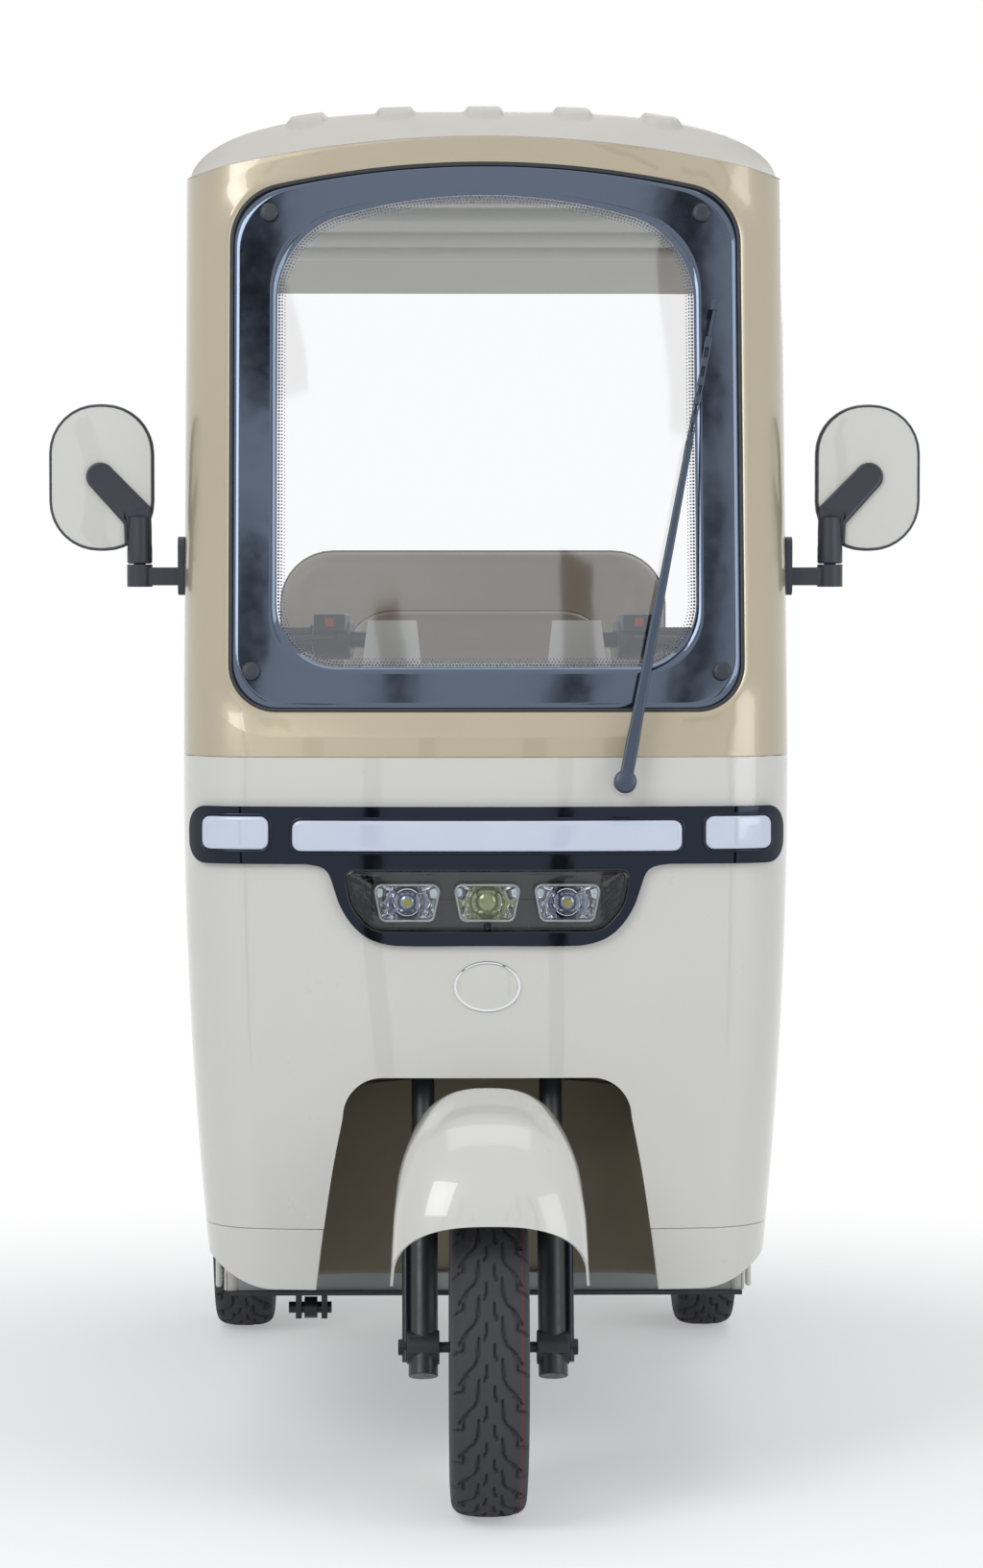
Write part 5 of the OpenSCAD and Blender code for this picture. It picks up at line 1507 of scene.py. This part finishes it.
@dataclass
class SteeringGear:
    """Details of the fork, the handlebar, its grips, levers, switches and horn-shaped cowls."""

    rake: float = math.radians(22)
    offset: float = 0.032
    half: float = 0.084
    axle: Vector = field(init=False)

    def __post_init__(self) -> None:
        """Takes the axle from the frame."""
        low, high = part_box("front_tyre")
        self.axle = (Vector(low) + Vector(high)) / 2

    def leg(self, along: float, x: float, behind: float = 0.0) -> Vector:
        """Point on a fork leg, a distance up it from the axle."""
        return self.axle + Vector((x, math.sin(self.rake) * along + math.cos(self.rake) * behind,
                                   math.cos(self.rake) * along - math.sin(self.rake) * behind))

    def axis_y(self, z: float) -> float:
        """Y of the steering axis at height z."""
        base = self.axle.y + self.offset * math.cos(self.rake)
        return base + (z - self.axle.z + self.offset * math.sin(self.rake)) * math.tan(self.rake)

    def bar_points(self, side: int) -> list[Vector]:
        """Middle line of the handlebar from its clamp to one end."""
        bar_y = self.axis_y(1.050) - 0.008
        rows = ((0.0, 0.0, 1.052), (0.060, 0.001, 1.052), (0.092, 0.003, 1.059), (0.112, 0.006, 1.078),
                (0.126, 0.009, 1.101), (0.146, 0.013, 1.120), (0.170, 0.018, 1.125), (0.312, 0.047, 1.125))
        return [Vector((side * x, bar_y + y, z)) for x, y, z in rows]

    def build(self, frame: dict) -> None:
        """Makes the pieces and softens the forgings."""
        up = self.leg(1.0, 0) - self.leg(0.0, 0)
        softened(frame, "fork_yokes", BLACK_PAINT, 2.0 * MM)
        softened(frame, "fork_legs", BLACK_PAINT, 1.2 * MM)
        dust_seal = [(0.0, 0.0185), (0.0, 0.0205), (0.006, 0.0212), (0.014, 0.0212), (0.020, 0.0195),
                     (0.024, 0.0165), (0.024, 0.0150)]
        axle_nut = [(0.0, 0.0), (0.0, 0.0150), (0.0015, 0.0150), (0.0020, 0.0120), (0.0105, 0.0115),
                    (0.0115, 0.0105), (0.0115, 0.0)]
        leg_foot = [(0.0, 0.0), (0.0, 0.0120), (0.003, 0.0175), (0.014, 0.0188), (0.020, 0.0188)]
        fittings = []
        for side in (-1, 1):
            x = side * self.half
            fittings.append(spun(dust_seal, self.leg(0.238, x), up, 48))
            nut = self.axle + Vector((side * (self.half + 0.021), 0, 0))
            fittings.append(spun(axle_nut, nut, RIGHT * side, 6))
            fittings.append(spun(leg_foot, self.leg(-0.036, x), up, 40))
            start = self.leg(-0.020, x + side * 0.022, -0.004)
            end = self.leg(0.150, x + side * 0.022, -0.004)
            fittings.append(swept_tube([start, start.lerp(end, 0.5), end], 0.0055, 12, 4))
        add_piece("fork_fittings", joined(*fittings), "steering", FORK_STEEL,
                  round_edge=0.8 * MM)
        self.build_bar(frame)

    def build_bar(self, frame: dict) -> None:
        """Makes the bar and what the hands hold."""
        left, right = self.bar_points(-1), self.bar_points(1)
        tube = swept_tube(left[::-1] + right[1:], 0.011, 20, 8)
        add_piece("handlebar_tube", tube, "steering", BLACK_PAINT, ["handlebar"])
        clamp = box_shape((-0.024, left[0].y - 0.030, 0.998), (0.024, left[0].y + 0.024, 1.070))
        add_piece("handlebar_clamp", clamp, "steering", BLACK_PAINT, round_edge=4 * MM)
        grips, boxes, levers, buttons = [], [], [], []
        for side, points in ((-1, left), (1, right)):
            root, tip = points[-2], points[-1]
            ahead = (tip - root).normalized()
            root = root + ahead * 0.016
            length = (tip - root).length
            profile = [(0.048, 0.0112), (0.048, 0.0205), (0.051, 0.0205), (0.052, 0.0165)]
            rib = 0.055
            while rib < length - 0.010:
                profile += [(rib, 0.0170), (rib + 0.0022, 0.0170), (rib + 0.0030, 0.0156),
                            (rib + 0.0042, 0.0156)]
                rib += 0.0052
            profile += [(length - 0.004, 0.0165), (length - 0.002, 0.0180), (length + 0.002, 0.0172),
                        (length + 0.003, 0.0)]
            grips.append(spun(profile, root, ahead, 32))
            housing = [(-0.006, 0.0112), (-0.006, 0.0240), (-0.003, 0.0262), (0.010, 0.0270),
                       (0.030, 0.0270), (0.043, 0.0262), (0.046, 0.0240), (0.046, 0.0112)]
            boxes.append(spun(housing, root, ahead, 40))
            head = root + Vector((side * 0.022, -0.014, 0.022))
            place = Matrix.Translation(head) @ Matrix.Rotation(side * math.radians(11), 4, "Z")
            boxes.append(moved(box_shape((-0.022, -0.017, -0.011), (0.022, 0.017, 0.013)), place))
            buttons.append(moved(box_shape((-0.006, -0.0185, -0.004), (0.006, -0.014, 0.008)), place))
            start = root + ahead * 0.020 + Vector((0, -0.026, 0.004))
            end = tip - ahead * 0.010 + Vector((0, -0.050, -0.004))
            bent = start.lerp(end, 0.35) + Vector((0, -0.003, 0))
            line = [start + Vector((0, 0.012, 0)), start, bent, start.lerp(end, 0.7), end]
            levers.append(swept_tube(line, 0.0055, 14, 6))
        add_piece("grips", joined(*grips), "steering", GRIP_RUBBER, ["hand_controls"])
        add_piece("switch_boxes", joined(*boxes), "steering", BLACK_PLASTIC,
                  round_edge=2 * MM)
        add_piece("levers", joined(*levers), "steering", BLACK_PAINT)
        add_piece("switch_buttons", joined(*buttons), "steering", SWITCH_RED,
                  round_edge=1 * MM)
        softened(frame, "handlebar_cowl", FAIRING, 6 * MM)


@dataclass
class Mirror:
    """One mirror: a cream shell in a black rim with a slanting foot, on its own pivot."""

    side: int
    node: str
    body: str
    mirror_y: float
    half: Point2 = (0.070, 0.098)
    centre_z: float = 1.344
    centre_x: float = 0.513
    pivot_x: float = -0.051

    def place(self, x: float, y: float, z: float) -> Vector:
        """Point from the head's own frame, with x outwards."""
        return Vector((self.side * (self.centre_x + x), self.mirror_y + y, self.centre_z + z))

    def build(self) -> None:
        """Makes the rim, the shell, the foot and the glass."""
        w, h = self.half
        outline = box_outline(-w, -h, w, h, 0.066, 128)

        def ring(grow: float, y: float) -> list[Vector]:
            """Outline grown and moved along y."""
            return [self.place(x, y, z) for x, z in grown(outline, grow)]

        rows = ((-4.0, 2.0), (-3.4, 0.6), (-2.0, 0.2), (-0.6, 2.0), (0.0, 6.0), (0.0, 21.0), (-1.0, 24.5),
                (-3.0, 25.6), (-5.0, 24.6), (-5.4, 22.0), (-4.0, 2.0))
        rim = [ring(grow * MM, y * MM) for grow, y in rows]
        add_piece(f"{self.node}_rim", from_rings(rim), self.body, MIRROR_BLACK, [self.node])

        def crowned(x: float, z: float, y: float, crown: float) -> Vector:
            """Point of the crowned back."""
            share = max(0.0, 1 - (x / w) ** 2) * max(0.0, 1 - (z / h) ** 2)
            return self.place(x, y - crown * share**0.5, z)

        shell = [[crowned(x, z, 2.2 * MM, 1.6 * MM) for x, z in grown(outline, -3.2 * MM)]]
        inner = grown(outline, -8 * MM)
        shell += [[crowned(x * s, z * s, 2.0 * MM, 1.6 * MM) for x, z in inner]
                  for s in (1.0, 0.85, 0.6, 0.3, 0.0)]
        add_piece(f"{self.node}_shell", from_rings(shell, FORWARD), self.body, FAIRING)
        glass = [[self.place(x, 23.4 * MM, z) for x, z in grown(outline, -4.6 * MM)],
                 [self.place(0, 23.9 * MM, 0) for _ in outline]]
        add_piece(f"{self.node}_glass", from_rings(glass, -FORWARD), self.body, MIRROR)
        self.build_foot()

    def build_foot(self) -> None:
        """Makes the slanting foot and the post that turns in the arm."""
        head = Vector((0.001, 0.001))
        elbow = Vector((-0.040, -0.056))
        ahead = (elbow - head).normalized()
        across = Vector((ahead.y, -ahead.x))
        arm = [(head.x + 0.019 * (across.x * math.cos(a) - ahead.x * math.sin(a)),
                head.y + 0.019 * (across.y * math.cos(a) - ahead.y * math.sin(a)))
               for a in (math.pi * (1 - k / 16) for k in range(17))]
        arm += [(-0.066, -0.040), (-0.067, -0.070), (-0.067, -0.088), (-0.031, -0.088), (-0.030, -0.062)]
        if sum(p[0] * q[1] - q[0] * p[1] for p, q in zip(arm, arm[1:] + arm[:1])) < 0:
            arm.reverse()
        foot = spaced(arm + [arm[0]], 160)
        rows = ((0.0, 4.0), (0.0, -3.0), (-1.2, -5.0), (-3.0, -5.4), (-4.4, -4.4), (-5.4, -4.2))
        rings = [[self.place(x, y * MM, z) for x, z in grown(foot, grow * MM)] for grow, y in rows]
        inner = grown(foot, rows[-1][0] * MM)
        rings += [[self.place(mix(x, -0.030, t), rows[-1][1] * MM, mix(z, -0.045, t)) for x, z in inner]
                  for t in (0.5, 1.0)]
        post = spun([(0.0, 0.0), (0.0, 0.0150), (0.002, 0.0168), (0.020, 0.0168), (0.030, 0.0160),
                     (0.062, 0.0150), (0.066, 0.0)], self.place(self.pivot_x, 0, -0.115), UP, 40)
        add_piece(f"{self.node}_foot", joined(from_rings(rings, FORWARD), post), self.body,
                  MIRROR_BLACK)


@dataclass
class Wiper:
    """Wiper arm with a bridge-type blade that lies along the glass."""

    shape: BodyShape
    x: float = 0.179
    z: float = 0.941
    tilt_deg: float = -11.0
    reach: Point2 = (0.240, 0.655)

    def placed(self, tilted: bool = True) -> Matrix:
        """Matrix from the wiper's own frame, with y up the glass and z off it."""
        body = self.shape
        y = body.face_y + 0.014 + body.lean_y(self.z) + 0.17 * (self.z - body.seam_z)
        turn = Matrix.Rotation(math.radians(90 - body.lean_deg), 4, "X")
        tilt = Matrix.Rotation(math.radians(self.tilt_deg if tilted else 0.0), 4, "Z")
        return Matrix.Translation((self.x, y, self.z)) @ turn @ tilt

    def build(self) -> None:
        """Makes the hub, the arm, the blade and the grommet."""
        turned = self.placed()
        rows = ((0.008, 0.0088, 27.0, 38.6), (0.050, 0.0088, 27.0, 38.6), (0.078, 0.0078, 26.6, 36.0),
                (0.150, 0.0068, 26.2, 34.0), (0.300, 0.0056, 26.2, 33.2), (0.452, 0.0046, 26.2, 32.4))
        rings = []
        for k, (y, half, low, high) in enumerate(rows):
            outline = box_outline(-half, low * MM, half, high * MM, 2.6 * MM, 40)
            if k == 0:
                rings.append([Vector((0, y, 0.032)) for _ in outline])
            rings.append([Vector((x, y, z)) for x, z in outline])
        rings.append([Vector((0, rows[-1][0], 0.029)) for _ in outline])
        hub = spun([(0.023, 0.0), (0.023, 0.0145), (0.024, 0.0150), (0.035, 0.0150), (0.039, 0.0135),
                    (0.041, 0.0095), (0.041, 0.0)], Vector(), UP, 48)
        arm = moved(joined(from_rings(rings), hub), turned)
        add_piece("wiper_arm_pressing", arm, "wiper", WIPER_GREY, ["wiper_arm"],
                  round_edge=0.8 * MM)
        self.build_blade(turned)
        grommet = spun([(0.004, 0.0108), (0.011, 0.0112), (0.013, 0.0125), (0.012, 0.0140), (0.004, 0.0145),
                        (0.004, 0.0108)], Vector(), UP, 48)
        add_piece("wiper_grommet", moved(grommet, self.placed(False)), "chassis", CHROME)

    def build_blade(self, turned: Matrix) -> None:
        """Makes the bridge with its yokes and claws, and the rubber lip."""
        low, high = self.reach

        def bar(x: float, half: float, along: Point2, above: Point2) -> bmesh.types.BMesh:
            """Bar along the blade, its width and height in millimetres."""
            return box_shape(((x - half) * MM, along[0], above[0] * MM),
                             ((x + half) * MM, along[1], above[1] * MM))

        parts = [bar(0.0, 1.5, (low, high), (17, 20.4)), bar(0.0, 4.9, (0.437, 0.460), (18, 25.6))]
        parts += [bar(x, 0.9, (0.300, 0.596), (19.4, 25.2)) for x in (-3.4, 3.4)]
        parts += [bar(0.0, 2.6, (0.302 + 0.026 * k, 0.314 + 0.026 * k), (21, 24.8)) for k in range(12)]
        parts += [bar(0.0, 4.6, (y - 7 * MM, y + 7 * MM), (16.4, 22))
                  for y in (low + 0.008, 0.300, 0.372, 0.520, 0.596, high - 0.008)]
        add_piece("wiper_bridge", moved(joined(*parts), turned), "wiper", WIPER_GREY,
                  ["wiper_blade"], round_edge=0.6 * MM)
        lip = [(-2 * MM, 16.8 * MM), (-0.5 * MM, 11.2 * MM), (0.5 * MM, 11.2 * MM), (2 * MM, 16.8 * MM)]
        edge = spaced(lip + [lip[0]], 24)
        rings = [[Vector((x * s, y, mix(0.014, z, s))) for x, z in edge]
                 for y, s in ((low + 2 * MM, 0.0), (low + 2 * MM, 1.0), (high - 2 * MM, 1.0),
                              (high - 2 * MM, 0.0))]
        add_piece("wiper_rubber", moved(from_rings(rings), turned), "wiper", GRIP_RUBBER,
                  sharp_deg=30.0)


@dataclass
class Cushion:
    """Upholstered pad: crowned, with rounded edges, a piped seam and, where channels are given, sewn
    channels.
    """

    node: str
    size: tuple[float, float, float]
    radius: float
    place: Matrix
    crown: float = 0.012
    channels: tuple = ()
    border: float = 0.055
    inset: float = 4 * MM

    def height(self, x: float, y: float) -> float:
        """Height of the face at a place, from its own middle plane."""
        w, d, t = self.size
        bulge = self.crown * max(0.0, 1 - (2 * x / w) ** 4) * max(0.0, 1 - (2 * y / d) ** 4)
        dent = 0.0
        for line in self.channels:
            dent += 5.0 * MM * math.exp(-((x - line) / (5 * MM)) ** 2) * smooth((d / 2 - abs(y)) / 0.03 - 0.4)
            dent -= 1.6 * MM * math.exp(-((abs(x - line) - 16 * MM) / (9 * MM)) ** 2)
        edge = min(w / 2 - abs(x), d / 2 - abs(y))
        dent += 3.0 * MM * math.exp(-((edge - self.border) / (4 * MM)) ** 2)
        return t / 2 - self.crown + bulge - dent

    def build(self) -> None:
        """Makes the pad and its piping."""
        w, d, t = self.size
        x1, y1 = w / 2 - self.inset, d / 2 - self.inset
        outline = box_outline(-x1, -y1, x1, y1, self.radius - self.inset, 360)
        soft = min(24 * MM, 0.4 * t)
        flat = grown(outline, -soft)
        rings = [[Vector((x * s, y * s, -t / 2)) for x, y in flat] for s in (0.0, 0.5, 1.0)]
        for k in range(1, 8):
            a = math.pi / 2 * k / 8
            rings.append([Vector((x, y, -t / 2 + soft * (1 - math.cos(a))))
                          for x, y in grown(outline, -soft * (1 - math.sin(a)))])
        for k in range(5):
            z = mix(-t / 2 + soft, t / 2 - self.crown - soft, k / 4)
            waist = 2.0 * MM * math.sin(math.pi * k / 4)
            rings.append([Vector((x, y, z)) for x, y in grown(outline, waist)])
        for k in range(1, 9):
            a = math.pi / 2 * k / 8
            rings.append([Vector((x, y, self.height(x, y) - soft * (1 - math.sin(a))))
                          for x, y in grown(outline, -soft * (1 - math.cos(a)))])
        # The face closes on its middle line, which runs the longer way
        line_x, line_y = max(0.0, (w - d) / 2), max(0.0, (d - w) / 2)
        steps = 26
        for k in range(1, steps + 1):
            row = []
            for x, y in flat:
                px = mix(x, max(-line_x, min(line_x, x)), k / steps)
                py = mix(y, max(-line_y, min(line_y, y)), k / steps)
                row.append(Vector((px, py, self.height(px, py))))
            rings.append(row)
        piece = add_piece(f"{self.node}_pad", moved(from_rings(rings), self.place), "chassis",
                          LEATHERETTE, [self.node], sharp_deg=80.0)
        rings = []
        for k in range(11):
            a = 2 * math.pi * k / 10
            rings.append([Vector((x, y, t / 2 - self.crown - soft + 2.4 * MM * math.sin(a)))
                          for x, y in grown(outline, 0.4 * MM + 2.4 * MM * math.cos(a))])
        add_piece(f"{self.node}_piping", moved(from_rings(rings), self.place), "chassis",
                  PIPING)


@dataclass
class Mudguard:
    """Flared front mudguard that turns with the fork."""

    stations: tuple = ((12, 126, 84, 62), (24, 125, 96, 52), (36, 124, 108, 42), (50, 122, 126, 26),
                       (66, 120, 142, 10), (82, 114, 150, 0), (92, 106, 128, 0), (102, 90, 92, 0),
                       (112, 70, 60, 0), (124, 57, 44, 0), (150, 55, 40, 0), (172, 53, 36, 0))
    radius: float = 0.191
    centre: Point2 = (-0.020, 0.364)
    wall: float = 3.5 * MM

    def build(self) -> None:
        """Makes the mudguard."""
        low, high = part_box("front_tyre")
        axle_y = (low[1] + high[1]) / 2
        columns, rows = 64, 60
        first, last = self.stations[0][0], self.stations[-1][0]

        def on_guard(u: float, v: float) -> Vector:
            """Point at one side and angle of the mudguard."""
            angle = mix(first, last, v)
            half, drop, ahead = interpolated(self.stations, angle)
            q = math.copysign(abs(2 * u - 1) ** 0.62, u - 0.5) if u != 0.5 else 0.0
            fall = 1 - (1 - abs(q) ** 2.6) ** (1 / 2.6)
            turn = math.radians(angle)
            y = axle_y + self.centre[0] - self.radius * math.cos(turn) + fall * ahead * MM
            z = self.centre[1] + self.radius * math.sin(turn) - fall * drop * MM
            return Vector((half * MM * q, y, z))

        shell = mapped_grid(columns, rows, on_guard, FORWARD)
        add_piece("front_mudguard", shell, "steering", FAIRING, ["mudguard"],
                  thickness=self.wall, round_edge=1.2 * MM)


@dataclass
class Studio:
    """Pale floor, soft light and the camera at the photograph's place."""

    face_y: float
    eye_z: float = 1.238
    distance: float = 6.0
    side: float = -0.09
    focal_px: float = 4800.0
    frame_px: Point2 = (1024.0, 1633.0)
    level_px: Point2 = (435.5, 580.0)
    sensor_mm: float = 36.0
    aim_z: float = 0.9
    # Each lamp: name, place, width and power
    lamps: tuple = (("key", (-2.6, -4.2, 3.6), 2.4, 80.0), ("fill", (3.4, -3.6, 2.2), 2.6, 40.0),
                    ("top", (0.0, 0.2, 4.4), 3.2, 36.0), ("back", (1.5, 4.2, 3.0), 2.4, 40.0))
    # Each flag: x, lowest and highest point, half width and lean in degrees
    flags: tuple = ((-3.4, 0.0, 7.0, 0.22, 4.0), (-1.62, 4.5, 6.2, 0.24, 8.0), (-1.68, 3.1, 4.1, 0.12, -16.0),
                    (-0.52, 3.0, 3.85, 0.09, 8.0), (0.70, 3.0, 4.0, 0.12, -14.0),
                    (1.62, 3.0, 4.3, 0.12, -20.0), (1.70, 4.4, 6.2, 0.20, -6.0), (3.6, 0.0, 7.0, 0.30, 6.0),
                    (-1.1, 0.0, 2.2, 0.10, 6.0), (0.9, 0.0, 2.2, 0.08, -5.0))

    def build(self) -> None:
        """Makes the floor, the lights, the world and the camera."""
        scene = bpy.context.scene
        scene.view_settings.view_transform = "Standard"
        self.build_world(scene)
        self.build_floor()
        for name, place, size, power in self.lamps:
            light = bpy.data.lights.new(name, "AREA")
            light.shape = "SQUARE"
            light.size = size
            light.energy = power
            lamp = bpy.data.objects.new(name, light)
            lamp.location = place
            aim = Vector((0, 0, self.aim_z)) - Vector(place)
            lamp.rotation_euler = aim.to_track_quat("-Z", "Y").to_euler()
            scene.collection.objects.link(lamp)
        self.build_flags()
        camera = bpy.data.cameras.new("camera")
        camera.sensor_fit = "AUTO"
        camera.sensor_width = self.sensor_mm
        camera.lens = self.focal_px / self.frame_px[1] * self.sensor_mm
        viewer = bpy.data.objects.new("camera", camera)
        viewer.location = (self.side, self.face_y - self.distance, self.eye_z)
        pitch = math.atan((self.frame_px[1] / 2 - self.level_px[1]) / self.focal_px)
        yaw = math.atan((self.frame_px[0] / 2 - self.level_px[0]) / self.focal_px)
        viewer.rotation_euler = (math.pi / 2 - pitch, 0, -yaw)
        scene.collection.objects.link(viewer)
        scene.camera = viewer

    def build_flags(self) -> None:
        """Makes black flags behind the camera, which the gloss mirrors as dark streaks."""
        shape = bmesh.new()
        behind = self.face_y - self.distance - 1.5
        for x, low, high, half, lean in self.flags:
            turn = Matrix.Rotation(math.radians(90), 4, "X") @ Matrix.Rotation(math.radians(lean), 4, "Z")
            place = Matrix.Translation((x, behind, (low + high) / 2)) @ turn
            made = bmesh.ops.create_grid(shape, x_segments=1, y_segments=12, size=1.0)["verts"]
            for vert in made:
                wave = 0.35 * half * math.sin(5 * vert.co.y)
                vert.co = Vector((vert.co.x * half + wave, vert.co.y * (high - low) / 2, 0))
            bmesh.ops.transform(shape, matrix=place, verts=made)
        flags = linked("studio_flags", shape)
        flags.data.materials.append(STUDIO_BLACK.build())
        flags.visible_camera = False
        flags.visible_diffuse = False
        flags.visible_transmission = False
        flags.visible_shadow = False

    @staticmethod
    def seen(tree: bpy.types.NodeTree) -> bpy.types.NodeSocket:
        """Socket that is 1 for rays of the camera, of reflections and through glass."""
        path = add_node(tree, "ShaderNodeLightPath")
        share = path.outputs["Is Camera Ray"]
        for kind in ("Is Glossy Ray", "Is Transmission Ray"):
            share = add_node(tree, "ShaderNodeMath", {0: share, 1: path.outputs[kind]},
                             operation="MAXIMUM").outputs[0]
        return share

    def build_world(self, scene: bpy.types.Scene) -> None:
        """Soft sky that the camera, glass and gloss see as white."""
        scene.world = bpy.data.worlds.new("studio")
        tree = empty_tree(scene.world)
        light = add_node(tree, "ShaderNodeBackground", {"Color": linear("#e9edf2"), "Strength": 0.55})
        white = add_node(tree, "ShaderNodeBackground", {"Color": (1, 1, 1, 1), "Strength": 1.0})
        both = add_node(tree, "ShaderNodeMixShader", {0: self.seen(tree), 1: light.outputs[0],
                                                      2: white.outputs[0]})
        add_node(tree, "ShaderNodeOutputWorld", {"Surface": both.outputs[0]})

    def build_floor(self) -> None:
        """Large pale floor that keeps the shadow and fades to white round it."""
        shape = bmesh.new()
        bmesh.ops.create_grid(shape, x_segments=1, y_segments=1, size=60.0)
        floor = linked("studio_floor", shape)
        paper = bpy.data.materials.new("studio_paper")
        tree = empty_tree(paper)
        where = add_node(tree, "ShaderNodeTexCoord").outputs["Object"]
        reach = add_node(tree, "ShaderNodeVectorMath", {0: where}, operation="LENGTH").outputs["Value"]
        away = add_node(tree, "ShaderNodeMapRange", {"Value": reach, "From Min": 0.9, "From Max": 2.2},
                        interpolation_type="SMOOTHSTEP").outputs["Result"]
        bright = add_node(tree, "ShaderNodeMapRange", {"Value": away, "To Min": 0.35}).outputs["Result"]
        share = add_node(tree, "ShaderNodeMath", {0: bright, 1: self.seen(tree)},
                         operation="MULTIPLY").outputs[0]
        matt = add_node(tree, "ShaderNodeBsdfDiffuse", {"Color": (1, 1, 1, 1), "Roughness": 0.5})
        white = add_node(tree, "ShaderNodeEmission", {"Color": (1, 1, 1, 1), "Strength": 1.0})
        both = add_node(tree, "ShaderNodeMixShader", {0: share, 1: matt.outputs[0], 2: white.outputs[0]})
        add_node(tree, "ShaderNodeOutputMaterial", {"Surface": both.outputs[0]})
        floor.data.materials.append(paper)


def build_seats() -> None:
    """Makes the four upholstered pads in their places."""
    bench_t, seat_t, driver_w = 0.110, 0.072, 0.415

    def corners(node: str) -> tuple[Vector, Vector]:
        """Lowest and highest corner of a frame node."""
        return tuple(Vector(corner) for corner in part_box(node))

    low, high = corners("bench_cushion")
    bench = Matrix.Translation(((low.x + high.x) / 2, (low.y + high.y) / 2, high.z - bench_t / 2))
    Cushion("bench_cushion", (high.x - low.x, high.y - low.y, bench_t), 0.060, bench, crown=0.014).build()
    low, high = corners("bench_backrest")
    back = Matrix.Translation((low + high) / 2) @ Matrix.Rotation(math.pi / 2, 4, "X")
    size = (high.x - low.x, high.z - low.z, high.y - low.y)
    Cushion("bench_backrest", size, 0.088, back, crown=0.010).build()
    low, high = corners("driver_cushion")
    seat = Matrix.Translation(((low.x + high.x) / 2, (low.y + high.y) / 2, high.z - seat_t / 2))
    Cushion("driver_cushion", (driver_w, 0.380, seat_t), 0.070, seat, crown=0.012).build()
    box_low, box_high = corners("seat_box")
    rest = Matrix.Translation((0, (box_low.y + box_high.y) / 2 + 0.205, 0.945))
    rest = rest @ Matrix.Rotation(math.radians(82), 4, "X") @ Matrix.Translation((0, 0, 0.011))
    Cushion("driver_backrest", (driver_w, 0.430, 0.062), 0.080, rest, crown=0.010).build()


def soften_rest(frame: dict) -> None:
    """Rounds the edges of the plain frame, floor and rear pieces and gives them their finishes."""
    # Finish and width of the rounding in millimetres
    rows = {"frame": (BLACK_PAINT, 2.0), "floor_pan": (FLOOR, 2.0), "inner_dash": (SURROUND, 2.5),
            "roof_frame": (ROOF, 1.0), "rear_tub": (FAIRING, 9.0), "seat_box": (FAIRING, 6.0),
            "battery": (BLACK_PLASTIC, 4.0), "rear_axle": (BLACK_PAINT, 2.0), "rear_springs": (STEEL, 1.2),
            "tail_lamps": (RED_LENS, 4.0), "rear_bumper": (BLACK_PLASTIC, 3.0),
            "side_sills": (FAIRING, 3.0), "brake_pedal": (BLACK_PAINT, 1.5),
            "mirror_mounts": (MIRROR_BLACK, 3.0), "screen_caps": (MIRROR_BLACK, 0.8),
            "wiper_spindle": (CHROME, 0.8), "front_rim": (SILVER, 1.2), "rear_rim_left": (SILVER, 1.2),
            "rear_rim_right": (SILVER, 1.2)}
    for node, (finish, width) in rows.items():
        softened(frame, node, finish, width * MM)


def main() -> None:
    """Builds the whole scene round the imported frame."""
    logging.basicConfig(level=logging.INFO, format="%(message)s")
    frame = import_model()
    shape = BodyShape.from_frame()
    Studio(face_y=shape.face_y).build()
    FrontFairing(shape).build()
    ScreenSurround(shape).build()
    Roof(shape).build()
    Mudguard().build()
    LampPanel(shape).build()
    BlankBadge(shape).build()
    ArchLiner(shape, FrontFairing(shape)).build()
    Tyre("front_tyre", "front_wheel", 672, stripe=True).build()
    Tyre("rear_tyre_left", "rear_wheel_left", 520).build()
    Tyre("rear_tyre_right", "rear_wheel_right", 520).build()
    SteeringGear().build(frame)
    for side, node, body in ((1, "mirror_left", "left_mirror"), (-1, "mirror_right", "right_mirror")):
        Mirror(side, node, body, mirror_y=shape.face_y + 0.176).build()
    Wiper(shape).build()
    build_seats()
    soften_rest(frame)


if __name__ == "__main__":
    main()
